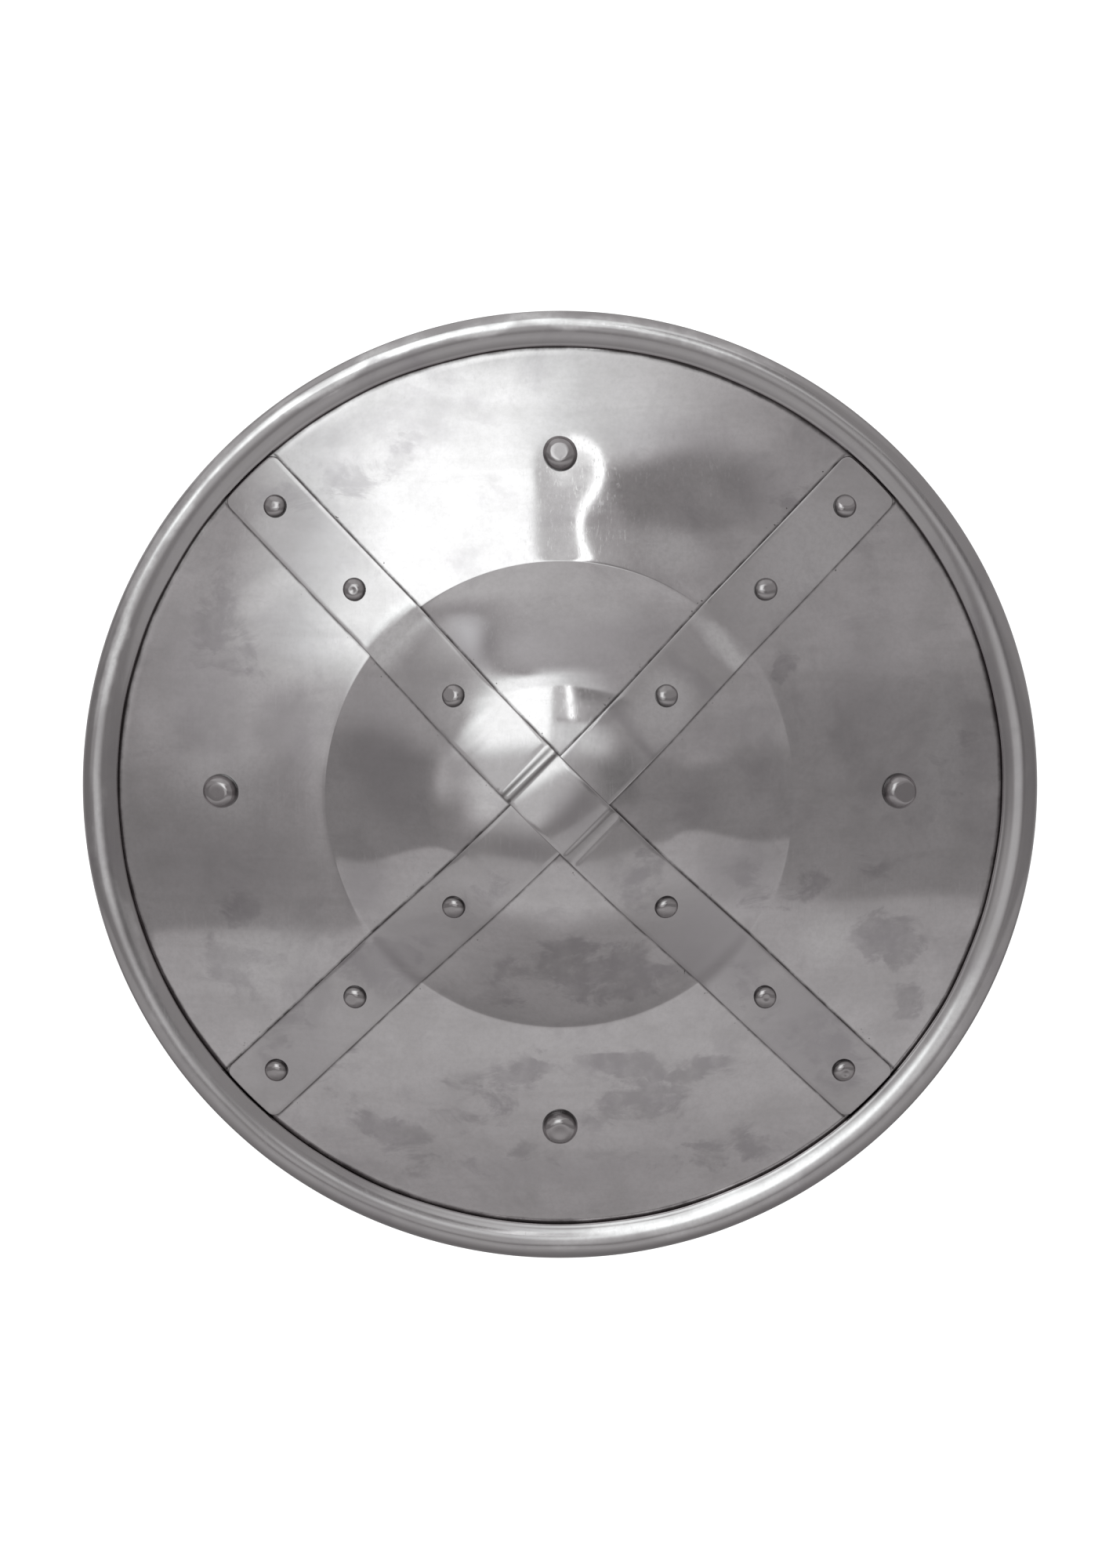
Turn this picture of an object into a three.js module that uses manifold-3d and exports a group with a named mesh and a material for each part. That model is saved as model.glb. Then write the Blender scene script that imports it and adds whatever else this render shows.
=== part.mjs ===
// A round buckler of polished steel: a dished plate with a centre boss, a rolled rim over a wire, two crossed
// riveted bands, and two leather straps behind it for the hand and the forearm. Millimetres, +Z up, face to -Y.
// The pieces are modelled face up, with x to the right and y upwards on the face and z out of it. The group at
// the end stands them upright. The origin is on the shield's axis, in the plane of the rim's back.
import * as THREE from 'three';
import { mergeVertices } from 'three/addons/utils/BufferGeometryUtils.js';
import Module from 'manifold-3d';

const wasm = await Module();
wasm.setup();

// Driving dimensions, in millimetres
const clearance = 0.3;
const cutOverrun = 2;
const weldDistance = 0.001;

// Plate: a spherical dish with a steeper boss in its middle
const shieldRadius = 175;
const plateThickness = 1.6;
const dishRadius = 405;
const bossRadius = 85.7;
const bossHeight = 28.7;
// The height of the cone that touches the boss all round its base
const bossConeHeight = 68.9;

// Rim: sheet folded over the plate's edge and rolled round a wire
const rimWidth = 12.8;
const rimSheet = 1.2;
const wireRadius = 2.25;

// Crossed bands
const bandWidth = 25.4;
const bandThickness = 1.5;
const bandEndGap = 0.6;
const bandCornerRadius = 3.2;
const bandBendDepth = 0.8;
const bandBendReach = 9;
const joggleMargin = 0.6;
const joggleLength = 7.5;

// Small rivets through the bands. The outer ones stand in from the rim's lip, the middle ones a share of the way
// from the crease to those, and the inner ones a share of the way out on the boss.
const outerRivetInset = 15.7;
const middleRivetShare = 0.327;
const innerRivetShare = 0.63;
const bandRivetHeadRadius = 4.25;
const bandRivetHeadHeight = 3;
const bandRivetShankRadius = 2.2;
const bandRivetTailRadius = 3.6;
const bandRivetTailHeight = 1.6;

// Large rivets that hold the straps
const strapRivetPlace = 124;
const strapRivetHeadRadius = 6.4;
const strapRivetHeadHeight = 5;
const strapRivetFlatRadius = 2.8;
const strapRivetShankRadius = 3;
const strapRivetTailRadius = 4.7;
const strapRivetTailHeight = 2;
const washerRadius = 8;
const washerThickness = 1.2;

// Straps
const leatherThickness = 2.8;
const gripWidth = 30;
const gripRoom = 45;
const gripFootRadius = 15;
const armWidth = 25;
const armRoom = 78;
const armFootRadius = 12;
const tabReach = 14;

// Buckle on the forearm strap
const buckleBarRadius = 2;
const buckleLength = 22;
const buckleSideGap = 1;
const foldBendRadius = 6;
const foldTail = 16;
const heelHeight = 29.5;
const rampBendRadius = 8;
const tongueRadius = 1.5;
const tongueRingWidth = 4;
const tongueRingWall = 1.5;
const tongueOverhang = 3.5;
const keeperWidth = 8;
const keeperThickness = 1.6;
const keeperPlace = 16;
const billetTip = 33;
const tipLength = 9;

// Angles, in degrees
const gripFlankDegrees = 45;
const armFlankDegrees = 60;
const foldDegrees = 25;
const rampDegrees = 35;
const buckleSwingDegrees = 8;
const tongueSwingDegrees = 12;

// Counts
const turnedSides = 60;
const bossRings = 7;
const dishRings = 4;
const beadSteps = 7;
const wireSides = 6;
const rivetSides = 10;
const domeSteps = 3;
const bandCells = 3;
const crossingSteps = 2;
const armSteps = 5;
const bendSteps = 5;
const cornerSteps = 2;
const footSteps = 4;
const crownSteps = 5;
const foldSteps = 8;
const overFoldSteps = 3;
const easySteps = 2;
const barSides = 10;

const radians = THREE.MathUtils.degToRad;
const rightAngle = Math.PI / 2;

// Looks of the materials
const steel = { color: 0x8c888a, roughness: 0.28, metalness: 1 };
const wireSteel = { color: 0x6f6c6e, roughness: 0.5, metalness: 1 };
const leather = { color: 0x4a2c1a, roughness: 0.65, metalness: 0 };
const brass = { color: 0xa8874a, roughness: 0.35, metalness: 1 };

// Heights worked out from the sizes above
const plateBack = rimSheet + clearance;
const plateFront = plateBack + plateThickness;
const grooveRadius = shieldRadius - rimWidth;
const beadRadius = wireRadius + clearance + rimSheet;
const beadPlace = shieldRadius - beadRadius;
const dishCentre = plateFront - Math.sqrt(dishRadius ** 2 - grooveRadius ** 2);
const dishBackRadius = dishRadius - plateThickness;
const bossPower = bossConeHeight / bossHeight;
const joggleLift = bandThickness + clearance;
const joggleStart = bandWidth / 2 + joggleMargin;
const outerRivetRadius = grooveRadius - outerRivetInset;
const bandRivetRadii = [
  bossRadius * innerRivetShare,
  bossRadius + (outerRivetRadius - bossRadius) * middleRivetShare,
  outerRivetRadius,
];
// The plate's back is hollow, so the middle of a flat tab's width stands off it a little further
const tabGap = clearance + gripWidth ** 2 / (8 * dishBackRadius);

function dishHeight(radius) {
  return dishCentre + Math.sqrt(dishRadius ** 2 - radius ** 2);
}

function bossSurface(radius) {
  return dishHeight(bossRadius) + bossHeight * (1 - (radius / bossRadius) ** bossPower);
}

function faceHeight(radius) {
  return radius < bossRadius ? bossSurface(radius) : dishHeight(radius);
}

// How far the face's normal leans outwards
function faceTilt(radius) {
  if (radius >= bossRadius) return Math.asin(radius / dishRadius);
  return Math.atan((bossConeHeight / bossRadius) * (radius / bossRadius) ** (bossPower - 1));
}

// The face with its crease eased, as a band lies over it: its height and how steeply it falls
function easedFace(radius) {
  const boss = bossSurface(radius);
  const dish = dishHeight(radius);
  const bossSlope = (bossConeHeight / bossRadius) * (radius / bossRadius) ** (bossPower - 1);
  const dishSlope = radius / Math.sqrt(dishRadius ** 2 - radius ** 2);
  const reach = Math.hypot((boss - dish) / 2, bandBendDepth);
  const bossShare = (boss - dish) / (2 * reach);
  return {
    height: (boss + dish) / 2 + reach,
    slope: (bossSlope + dishSlope + bossShare * (bossSlope - dishSlope)) / 2,
  };
}

// Solids

function toSolid(geometry) {
  const bare = new THREE.BufferGeometry();
  bare.setAttribute('position', geometry.getAttribute('position').clone());
  if (geometry.index) bare.setIndex(geometry.index.clone());
  const welded = mergeVertices(bare, weldDistance);
  const corners = welded.getIndex();
  const faces = [];
  for (let i = 0; i < corners.count; i += 3) {
    const face = [corners.getX(i), corners.getX(i + 1), corners.getX(i + 2)];
    if (new Set(face).size === face.length) faces.push(...face);
  }
  const vertProperties = new Float32Array(welded.getAttribute('position').array);
  return new wasm.Manifold(new wasm.Mesh({ numProp: 3, vertProperties, triVerts: new Uint32Array(faces) }));
}

function fromSolid(solid) {
  const mesh = solid.getMesh();
  const geometry = new THREE.BufferGeometry();
  geometry.setAttribute('position', new THREE.BufferAttribute(new Float32Array(mesh.vertProperties), 3));
  geometry.setIndex(new THREE.BufferAttribute(new Uint32Array(mesh.triVerts), 1));
  return geometry;
}

function addPiece(parent, name, geometry, look) {
  const flat = geometry.index ? geometry.toNonIndexed() : geometry;
  flat.computeVertexNormals();
  const mesh = new THREE.Mesh(flat, new THREE.MeshStandardMaterial(look));
  mesh.name = name;
  parent.add(mesh);
  return mesh;
}

// A profile of [radius, height] points, listed anticlockwise with the radius to the right, turned about z
function turned(profile, sides) {
  const points = profile.map(([radius, height]) => new THREE.Vector2(radius, height));
  return new THREE.LatheGeometry(points, sides).rotateX(rightAngle);
}

// A cylinder along z from low to high
function rod(radius, low, high, sides) {
  return turned([[0, low], [radius, low], [radius, high], [0, high]], sides);
}

function arcPoints(centre, radius, from, to, steps) {
  const points = [];
  for (let i = 0; i <= steps; i += 1) {
    const angle = from + ((to - from) * i) / steps;
    points.push([centre[0] + radius * Math.cos(angle), centre[1] + radius * Math.sin(angle)]);
  }
  return points;
}

// Points moved sideways to the right of the way along them, with mitred corners
function offsetPoints(points, distance) {
  return points.map((point, i) => {
    const before = points[Math.max(i - 1, 0)];
    const after = points[Math.min(i + 1, points.length - 1)];
    const into = new THREE.Vector2(point[0] - before[0], point[1] - before[1]).normalize();
    const out = new THREE.Vector2(after[0] - point[0], after[1] - point[1]).normalize();
    if (i === 0) into.copy(out);
    if (i === points.length - 1) out.copy(into);
    const along = into.clone().add(out).normalize();
    const reach = distance / along.dot(out);
    return [point[0] + along.y * reach, point[1] - along.x * reach];
  });
}

// Places on the face

// The seat of a rivet: its z axis is the face's normal at that radius and angle
function seatMatrix(radius, angle) {
  const place = new THREE.Vector3(
    radius * Math.cos(angle),
    radius * Math.sin(angle),
    faceHeight(radius),
  );
  const turn = new THREE.Quaternion().setFromEuler(new THREE.Euler(0, faceTilt(radius), angle, 'ZYX'));
  return new THREE.Matrix4().compose(place, turn, new THREE.Vector3(1, 1, 1));
}

const strapRivetNames = ['east', 'north', 'west', 'south'];
const armNames = ['upper_right', 'upper_left', 'lower_left', 'lower_right'];
const bandPlaceNames = ['inner', 'middle', 'outer'];

const strapRivets = strapRivetNames.map((name, quarter) => ({
  name,
  seat: seatMatrix(strapRivetPlace, quarter * rightAngle),
}));
const bandRivets = armNames.flatMap((armName, quarter) => bandRivetRadii.map((radius, i) => ({
  name: `${armName}_${bandPlaceNames[i]}`,
  quarter,
  seat: seatMatrix(radius, (quarter + 1 / 2) * rightAngle),
})));

function holesAt(rivets, radius, low, high) {
  return rivets.map(({ seat }) => toSolid(rod(radius, low, high, rivetSides).applyMatrix4(seat)));
}

function cutAll(solid, cutters) {
  return cutters.reduce((left, cutter) => left.subtract(cutter), solid);
}

// Plate and rim

function makePlate() {
  const edgeRadius = beadPlace - wireRadius - clearance;
  const front = [];
  for (let i = 0; i <= bossRings; i += 1) {
    const radius = (bossRadius * i) / bossRings;
    front.push([radius, faceHeight(radius)]);
  }
  for (let i = 1; i <= dishRings; i += 1) {
    const radius = bossRadius + ((grooveRadius - bossRadius) * i) / dishRings;
    front.push([radius, faceHeight(radius)]);
  }
  front.push([edgeRadius, plateFront]);
  const back = offsetPoints(front, plateThickness);
  back[0][0] = 0;
  const plate = toSolid(turned([...back, ...front.reverse()], turnedSides));
  const low = -plateThickness - cutOverrun;
  const bandHoles = holesAt(bandRivets, bandRivetShankRadius + clearance, low, cutOverrun);
  const strapHoles = holesAt(strapRivets, strapRivetShankRadius + clearance, low, cutOverrun);
  return fromSolid(cutAll(plate, [...bandHoles, ...strapHoles]));
}

function makeRim() {
  const centre = [beadPlace, beadRadius];
  const innerRadius = beadRadius - rimSheet;
  const lipTop = [grooveRadius, plateFront + clearance + rimSheet];
  const lipToCentre = new THREE.Vector2(centre[0] - lipTop[0], centre[1] - lipTop[1]);
  const lipAngle = Math.atan2(lipToCentre.y, lipToCentre.x) + Math.asin(beadRadius / lipToCentre.length());
  const lipUnder = [lipTop[0] + rimSheet * Math.sin(lipAngle), lipTop[1] - rimSheet * Math.cos(lipAngle)];
  const crest = rightAngle + lipAngle;
  const backLip = grooveRadius + clearance;
  const profile = [
    [backLip, 0],
    ...arcPoints(centre, beadRadius, -rightAngle, crest, beadSteps),
    lipTop,
    lipUnder,
    ...arcPoints(centre, innerRadius, crest, -rightAngle, beadSteps),
    [backLip, rimSheet],
    [backLip, 0],
  ];
  return turned(profile, turnedSides);
}

function makeWire() {
  return new THREE.TorusGeometry(beadPlace, wireRadius, wireSides, turnedSides).translate(0, 0, beadRadius);
}

// Bands

function spread(from, to, steps) {
  return Array.from({ length: steps }, (unused, i) => from + ((to - from) * (i + 1)) / steps);
}

// Distances along one arm of a band, each with the band's half width there
function bandStations(end) {
  const half = bandWidth / 2;
  const joggleEnd = joggleStart + joggleLength;
  const cornerStart = end - bandCornerRadius;
  const straight = [
    0,
    ...spread(0, joggleStart, crossingSteps),
    joggleEnd,
    ...spread(joggleEnd, bossRadius - bandBendReach, armSteps),
    ...spread(bossRadius - bandBendReach, bossRadius + bandBendReach, bendSteps),
    ...spread(bossRadius + bandBendReach, cornerStart, armSteps),
  ];
  const corner = spread(0, rightAngle, cornerSteps).map((angle) => ({
    along: cornerStart + bandCornerRadius * Math.sin(angle),
    half: half - bandCornerRadius * (1 - Math.cos(angle)),
  }));
  return [...straight.map((along) => ({ along, half })), ...corner];
}

// How far a joggled band is lifted over the band that it crosses
function joggleShare(along) {
  return THREE.MathUtils.clamp(1 - (Math.abs(along) - joggleStart) / joggleLength, 0, 1);
}

function bandPoint(along, across, lift) {
  const { height, slope } = easedFace(Math.hypot(along, across));
  return new THREE.Vector3(along, across, height + lift * Math.hypot(1, slope));
}

// A closed sheet between two grids of points with the same rows and columns
function sheetBetween(lower, upper) {
  const rows = lower.length;
  const columns = lower[0].length;
  const positions = [...lower.flat(), ...upper.flat()].flatMap((point) => point.toArray());
  const low = (row, column) => row * columns + column;
  const high = (row, column) => (rows + row) * columns + column;
  const faces = [];
  const quad = (a, b, c, d) => faces.push(a, b, c, a, c, d);
  for (let i = 0; i < rows - 1; i += 1) {
    for (let j = 0; j < columns - 1; j += 1) {
      quad(high(i, j), high(i + 1, j), high(i + 1, j + 1), high(i, j + 1));
      quad(low(i, j), low(i, j + 1), low(i + 1, j + 1), low(i + 1, j));
    }
    quad(low(i, 0), low(i + 1, 0), high(i + 1, 0), high(i, 0));
    quad(low(i + 1, columns - 1), low(i, columns - 1), high(i, columns - 1), high(i + 1, columns - 1));
  }
  for (let j = 0; j < columns - 1; j += 1) {
    quad(low(0, j + 1), low(0, j), high(0, j), high(0, j + 1));
    quad(low(rows - 1, j), low(rows - 1, j + 1), high(rows - 1, j + 1), high(rows - 1, j));
  }
  const geometry = new THREE.BufferGeometry();
  geometry.setAttribute('position', new THREE.Float32BufferAttribute(positions, 3));
  geometry.setIndex(faces);
  return geometry;
}

// A band laid along the x axis, then turned to the angle of its arms
function makeBand(turn, joggle, rivets) {
  const end = grooveRadius - bandEndGap;
  const arm = bandStations(end);
  const mirrored = arm.slice(1).reverse().map(({ along, half }) => ({ along: -along, half }));
  const stations = [...mirrored, ...arm];
  const sides = [-1, ...spread(-1, 1, bandCells)];
  const layer = (thickness) => stations.map(({ along, half }) => sides.map((side) => {
    const across = side * half;
    const shortening = Math.sqrt(end ** 2 - across ** 2) / end;
    return bandPoint(along * shortening, across, clearance + thickness + joggle * joggleShare(along));
  }));
  const band = toSolid(sheetBetween(layer(0), layer(bandThickness)).rotateZ(turn));
  const high = joggleLift + bandThickness + cutOverrun;
  return fromSolid(cutAll(band, holesAt(rivets, bandRivetShankRadius + clearance, -cutOverrun, high)));
}

// Rivets and washers, standing on their seats

function domePoints(radius, height, flatRadius, base) {
  const points = [];
  for (let i = 0; i <= domeSteps; i += 1) {
    const angle = (rightAngle * i) / domeSteps;
    points.push([flatRadius + (radius - flatRadius) * Math.cos(angle), base + height * Math.sin(angle)]);
  }
  return points;
}

function makeRivet(head, shankRadius, tail, under, over) {
  const tailDome = domePoints(tail.radius, -tail.height, tail.flatRadius, under).reverse();
  const headDome = domePoints(head.radius, head.height, head.flatRadius, over);
  return turned([
    [0, under - tail.height],
    ...tailDome,
    [shankRadius, under],
    [shankRadius, over],
    ...headDome,
    [0, over + head.height],
  ], rivetSides);
}

function makeBandRivet() {
  const head = { radius: bandRivetHeadRadius, height: bandRivetHeadHeight, flatRadius: bandRivetShankRadius / 2 };
  const tail = { radius: bandRivetTailRadius, height: bandRivetTailHeight, flatRadius: bandRivetShankRadius };
  const over = clearance + bandThickness + clearance;
  return makeRivet(head, bandRivetShankRadius, tail, -plateThickness - clearance, over);
}

const washerTop = -plateThickness - tabGap - leatherThickness - clearance;

function makeStrapRivet() {
  const head = { radius: strapRivetHeadRadius, height: strapRivetHeadHeight, flatRadius: strapRivetFlatRadius };
  const tail = { radius: strapRivetTailRadius, height: strapRivetTailHeight, flatRadius: strapRivetShankRadius };
  return makeRivet(head, strapRivetShankRadius, tail, washerTop - washerThickness - clearance, clearance);
}

function makeWasher() {
  const bore = strapRivetShankRadius + clearance;
  return turned([
    [bore, washerTop - washerThickness],
    [washerRadius, washerTop - washerThickness],
    [washerRadius, washerTop],
    [bore, washerTop],
    [bore, washerTop - washerThickness],
  ], rivetSides);
}

function addRivets(parent) {
  bandRivets.forEach(({ name, seat }) => {
    addPiece(parent, `band_rivet_${name}`, makeBandRivet(), steel).applyMatrix4(seat);
  });
  strapRivets.forEach(({ name, seat }) => {
    addPiece(parent, `strap_rivet_${name}`, makeStrapRivet(), steel).applyMatrix4(seat);
    addPiece(parent, `strap_washer_${name}`, makeWasher(), steel).applyMatrix4(seat);
  });
}

// Straps. Each lies in a plane through the centre of the dish's sphere and two of the large rivets. In that
// plane, x runs along the strap's chord and y towards the face, with the sphere's centre as origin.

const chordHalf = strapRivetPlace * Math.sin(rightAngle / 2);
const strapTilt = Math.atan(chordHalf / Math.sqrt(dishRadius ** 2 - strapRivetPlace ** 2));
const rivetSpread = Math.asin(chordHalf / dishRadius);
const tabRadius = dishBackRadius - tabGap - leatherThickness / 2;

// A path is a start, a heading and steps: run is a straight length, bend an angle turned left at a radius
function tracePath(start, heading, steps) {
  const marks = [{ x: start[0], y: start[1], heading }];
  steps.forEach((step) => {
    const last = marks[marks.length - 1];
    if (step.run) {
      marks.push({
        x: last.x + step.run * Math.cos(last.heading),
        y: last.y + step.run * Math.sin(last.heading),
        heading: last.heading,
      });
      return;
    }
    const side = Math.sign(step.bend);
    const centreX = last.x - side * step.radius * Math.sin(last.heading);
    const centreY = last.y + side * step.radius * Math.cos(last.heading);
    spread(0, step.bend, step.parts).forEach((turn) => {
      const angle = last.heading + turn;
      marks.push({
        x: centreX + side * step.radius * Math.sin(angle),
        y: centreY - side * step.radius * Math.cos(angle),
        heading: angle,
      });
    });
  });
  return marks;
}

// A strip of leather along a path, spread evenly to both sides of the path's plane
function makeStrip(marks, width) {
  const side = (distance) => marks.map(({ x, y, heading }) => new THREE.Vector2(
    x - distance * Math.sin(heading),
    y + distance * Math.cos(heading),
  ));
  const half = leatherThickness / 2;
  const outline = new THREE.Shape([...side(-half), ...side(half).reverse()]);
  return new THREE.ExtrudeGeometry(outline, { depth: width, bevelEnabled: false }).translate(0, 0, -width / 2);
}

// Half of an arch that rises by room off the plate: its foot bend, its flank and the crown's radius
function solveArch(room, footRadius, flankAngle) {
  const footAngle = rivetSpread - tabReach / tabRadius;
  const top = dishBackRadius - room - leatherThickness / 2;
  const across = tabRadius * Math.sin(footAngle) - footRadius * (Math.sin(flankAngle) + Math.sin(footAngle));
  const rise = tabRadius * Math.cos(footAngle) - top - footRadius * (Math.cos(footAngle) - Math.cos(flankAngle));
  const sine = Math.sin(flankAngle);
  const cosine = Math.cos(flankAngle);
  const crownRadius = (across * sine - rise * cosine) / (1 - cosine);
  const flank = (across - crownRadius * sine) / cosine;
  return { footAngle, crownRadius, flank, flankAngle, footRadius };
}

// The tab on the plate, from past the rivet inwards, and the foot bend up to the flank
function footPath(arch, tabEnd) {
  return [
    { bend: -(tabReach + tabEnd) / tabRadius, radius: tabRadius, parts: easySteps },
    { bend: -(arch.flankAngle + arch.footAngle), radius: arch.footRadius, parts: footSteps },
  ];
}

// Where a tab starts on the chord's minus side, and its heading towards the rivet and the arch
function tabStart(tabEnd) {
  const angle = rivetSpread + tabEnd / tabRadius;
  return { start: [-tabRadius * Math.sin(angle), tabRadius * Math.cos(angle)], heading: angle };
}

function mirrorMarks(marks) {
  return marks.map(({ x, y, heading }) => ({ x: -x, y, heading: -heading })).reverse();
}

// A prism along the plane's y axis with round ends, which rounds a strip's tabs about their rivets
function roundedEnds(width) {
  const half = width / 2;
  const reach = dishBackRadius * Math.sin(rivetSpread);
  const outline = new THREE.Shape();
  outline.absarc(reach, 0, half, -rightAngle, rightAngle, false);
  outline.absarc(-reach, 0, half, rightAngle, 3 * rightAngle, false);
  const prism = new THREE.ExtrudeGeometry(outline, {
    depth: dishRadius,
    bevelEnabled: false,
    curveSegments: rivetSides,
  });
  return toSolid(prism.rotateX(-rightAngle));
}

// A hole square to the tab at one end of the chord
function tabHole(side) {
  const radius = strapRivetShankRadius + clearance;
  const hole = rod(radius, dishBackRadius - leatherThickness - cutOverrun, dishBackRadius, rivetSides);
  return toSolid(hole.rotateX(-rightAngle).rotateZ(-side * rivetSpread));
}

function makeGripStrap() {
  const arch = solveArch(gripRoom, gripFootRadius, radians(gripFlankDegrees));
  const tabEnd = gripWidth / 2 + cutOverrun;
  const { start, heading } = tabStart(tabEnd);
  const half = tracePath(start, heading, [
    ...footPath(arch, tabEnd),
    { run: arch.flank },
    { bend: arch.flankAngle, radius: arch.crownRadius, parts: crownSteps },
  ]);
  const strip = toSolid(makeStrip([...half, ...mirrorMarks(half).slice(1)], gripWidth));
  return fromSolid(cutAll(strip.intersect(roundedEnds(gripWidth)), [tabHole(-1), tabHole(1)]));
}

// The forearm strap. Its billet comes over the arm, goes under the buckle's front bar, up a ramp through the
// frame and over the heel bar, and ends beyond the keeper.

const armTabEnd = armWidth / 2 + cutOverrun;
const arm = solveArch(armRoom, armFootRadius, radians(armFlankDegrees));
const armTab = tabStart(armTabEnd);
const armFoot = footPath(arm, armTabEnd);
const foldAngle = radians(foldDegrees);
const rampAngle = radians(rampDegrees);
const layerPitch = leatherThickness + clearance;
const foldRadius = buckleBarRadius + clearance + leatherThickness / 2;
const overFoldRadius = foldRadius + layerPitch;
const foldDrop = foldRadius * (1 + Math.cos(foldAngle)) - foldBendRadius * (1 - Math.cos(foldAngle));
const foldRun = (foldDrop - layerPitch) / Math.sin(foldAngle);
const foldEnd = (foldRadius + foldBendRadius) * Math.sin(foldAngle) + foldRun * Math.cos(foldAngle);
const rampClimb = foldRadius + overFoldRadius * Math.cos(rampAngle) - rampBendRadius * (1 - Math.cos(rampAngle));
const rampRun = rampClimb / Math.sin(rampAngle);
const rampStart = (overFoldRadius + rampBendRadius) * Math.sin(rampAngle) + rampRun * Math.cos(rampAngle);
const tongueRest = Math.asin((buckleBarRadius + clearance + tongueRadius) / buckleLength);

// The heel bar's place in the strap's plane, on the chord's minus side
function heelPlace() {
  const marks = tracePath(armTab.start, armTab.heading, [...armFoot, { run: heelHeight }]);
  const { x, y, heading } = marks[marks.length - 1];
  return {
    position: new THREE.Vector3(x + foldRadius * Math.sin(heading), y - foldRadius * Math.cos(heading), 0),
    along: new THREE.Vector3(Math.cos(heading), Math.sin(heading), 0),
  };
}

// From buckle axes, with x to the crown, y away from the arm and the heel bar on z, to the strap's plane
function buckleMatrix() {
  const { position, along } = heelPlace();
  const outward = new THREE.Vector3(along.y, -along.x, 0);
  const matrix = new THREE.Matrix4().makeBasis(along, outward, along.clone().cross(outward));
  return matrix.setPosition(position);
}

function blockBetween(low, high) {
  const size = new THREE.Vector3().subVectors(high, low);
  const centre = new THREE.Vector3().addVectors(low, high).multiplyScalar(1 / 2);
  return new THREE.BoxGeometry(size.x, size.y, size.z).translate(centre.x, centre.y, centre.z);
}

function makeBuckleEnd() {
  const marks = tracePath(armTab.start, armTab.heading, [
    ...armFoot,
    { run: heelHeight },
    { bend: -(Math.PI + foldAngle), radius: foldRadius, parts: foldSteps },
    { run: foldRun },
    { bend: foldAngle, radius: foldBendRadius, parts: easySteps },
    { run: foldTail },
  ]);
  const strip = toSolid(makeStrip(marks, armWidth)).intersect(roundedEnds(armWidth));
  const ringReach = buckleBarRadius + 2 * clearance + tongueRingWall;
  const foldReach = foldRadius + leatherThickness / 2 + cutOverrun;
  const slotHalf = tongueRingWidth / 2 + clearance;
  const slot = blockBetween(
    new THREE.Vector3(-ringReach, -foldReach, -slotHalf),
    new THREE.Vector3(foldReach, foldReach, slotHalf),
  );
  return fromSolid(cutAll(strip, [toSolid(slot.applyMatrix4(buckleMatrix())), tabHole(-1)]));
}

// The oblong hole in the billet's ramp, long enough for the tongue from rest to its furthest swing
function makeTongueSlot() {
  const swing = radians(buckleSwingDegrees + tongueSwingDegrees);
  const crossing = (turn) => overFoldRadius / Math.tan(rampAngle + tongueRest + turn);
  const reach = (turn) => {
    const lean = rampAngle + tongueRest + turn;
    return (tongueRadius + (leatherThickness / 2) * Math.cos(lean)) / Math.sin(lean) + clearance;
  };
  const half = tongueRadius + clearance;
  const near = crossing(swing) - reach(swing) + half;
  const far = crossing(0) + reach(0) - half;
  const outline = new THREE.Shape();
  outline.absarc(far, 0, half, -rightAngle, rightAngle, false);
  outline.absarc(near, 0, half, rightAngle, 3 * rightAngle, false);
  const depth = leatherThickness + 2 * cutOverrun;
  const prism = new THREE.ExtrudeGeometry(outline, { depth, bevelEnabled: false, curveSegments: rivetSides });
  prism.translate(0, 0, -depth / 2).rotateX(-rightAngle).translate(0, overFoldRadius, 0).rotateZ(-rampAngle);
  return toSolid(prism.applyMatrix4(buckleMatrix()));
}

// What lies beyond the billet's pointed end
function makeTipCutter() {
  const shoulder = tipLength - billetTip;
  const outline = new THREE.Shape([
    new THREE.Vector2(-billetTip, 0),
    new THREE.Vector2(shoulder, armWidth / 2),
    new THREE.Vector2(shoulder, armWidth),
    new THREE.Vector2(-billetTip - armWidth, armWidth),
    new THREE.Vector2(-billetTip - armWidth, -armWidth),
    new THREE.Vector2(shoulder, -armWidth),
    new THREE.Vector2(shoulder, -armWidth / 2),
  ]);
  const prism = new THREE.ExtrudeGeometry(outline, { depth: armWidth, bevelEnabled: false });
  return toSolid(prism.translate(0, 0, -armWidth / 2).rotateX(-rightAngle).applyMatrix4(buckleMatrix()));
}

function makeBillet() {
  const marks = tracePath(armTab.start, armTab.heading, [
    ...armFoot,
    { run: arm.flank },
    { bend: 2 * arm.flankAngle, radius: arm.crownRadius, parts: 2 * crownSteps },
    { run: arm.flank - heelHeight - rampStart },
    { bend: -rampAngle, radius: rampBendRadius, parts: easySteps },
    { run: rampRun },
    { bend: rampAngle + foldAngle, radius: overFoldRadius, parts: overFoldSteps },
    { run: foldRun },
    { bend: -foldAngle, radius: foldBendRadius - layerPitch, parts: easySteps },
    { run: billetTip - foldEnd },
  ]);
  const strip = toSolid(makeStrip(mirrorMarks(marks), armWidth)).intersect(roundedEnds(armWidth));
  return fromSolid(cutAll(strip, [makeTongueSlot(), makeTipCutter(), tabHole(1)]));
}

// The buckle's pieces, in buckle axes

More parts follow.
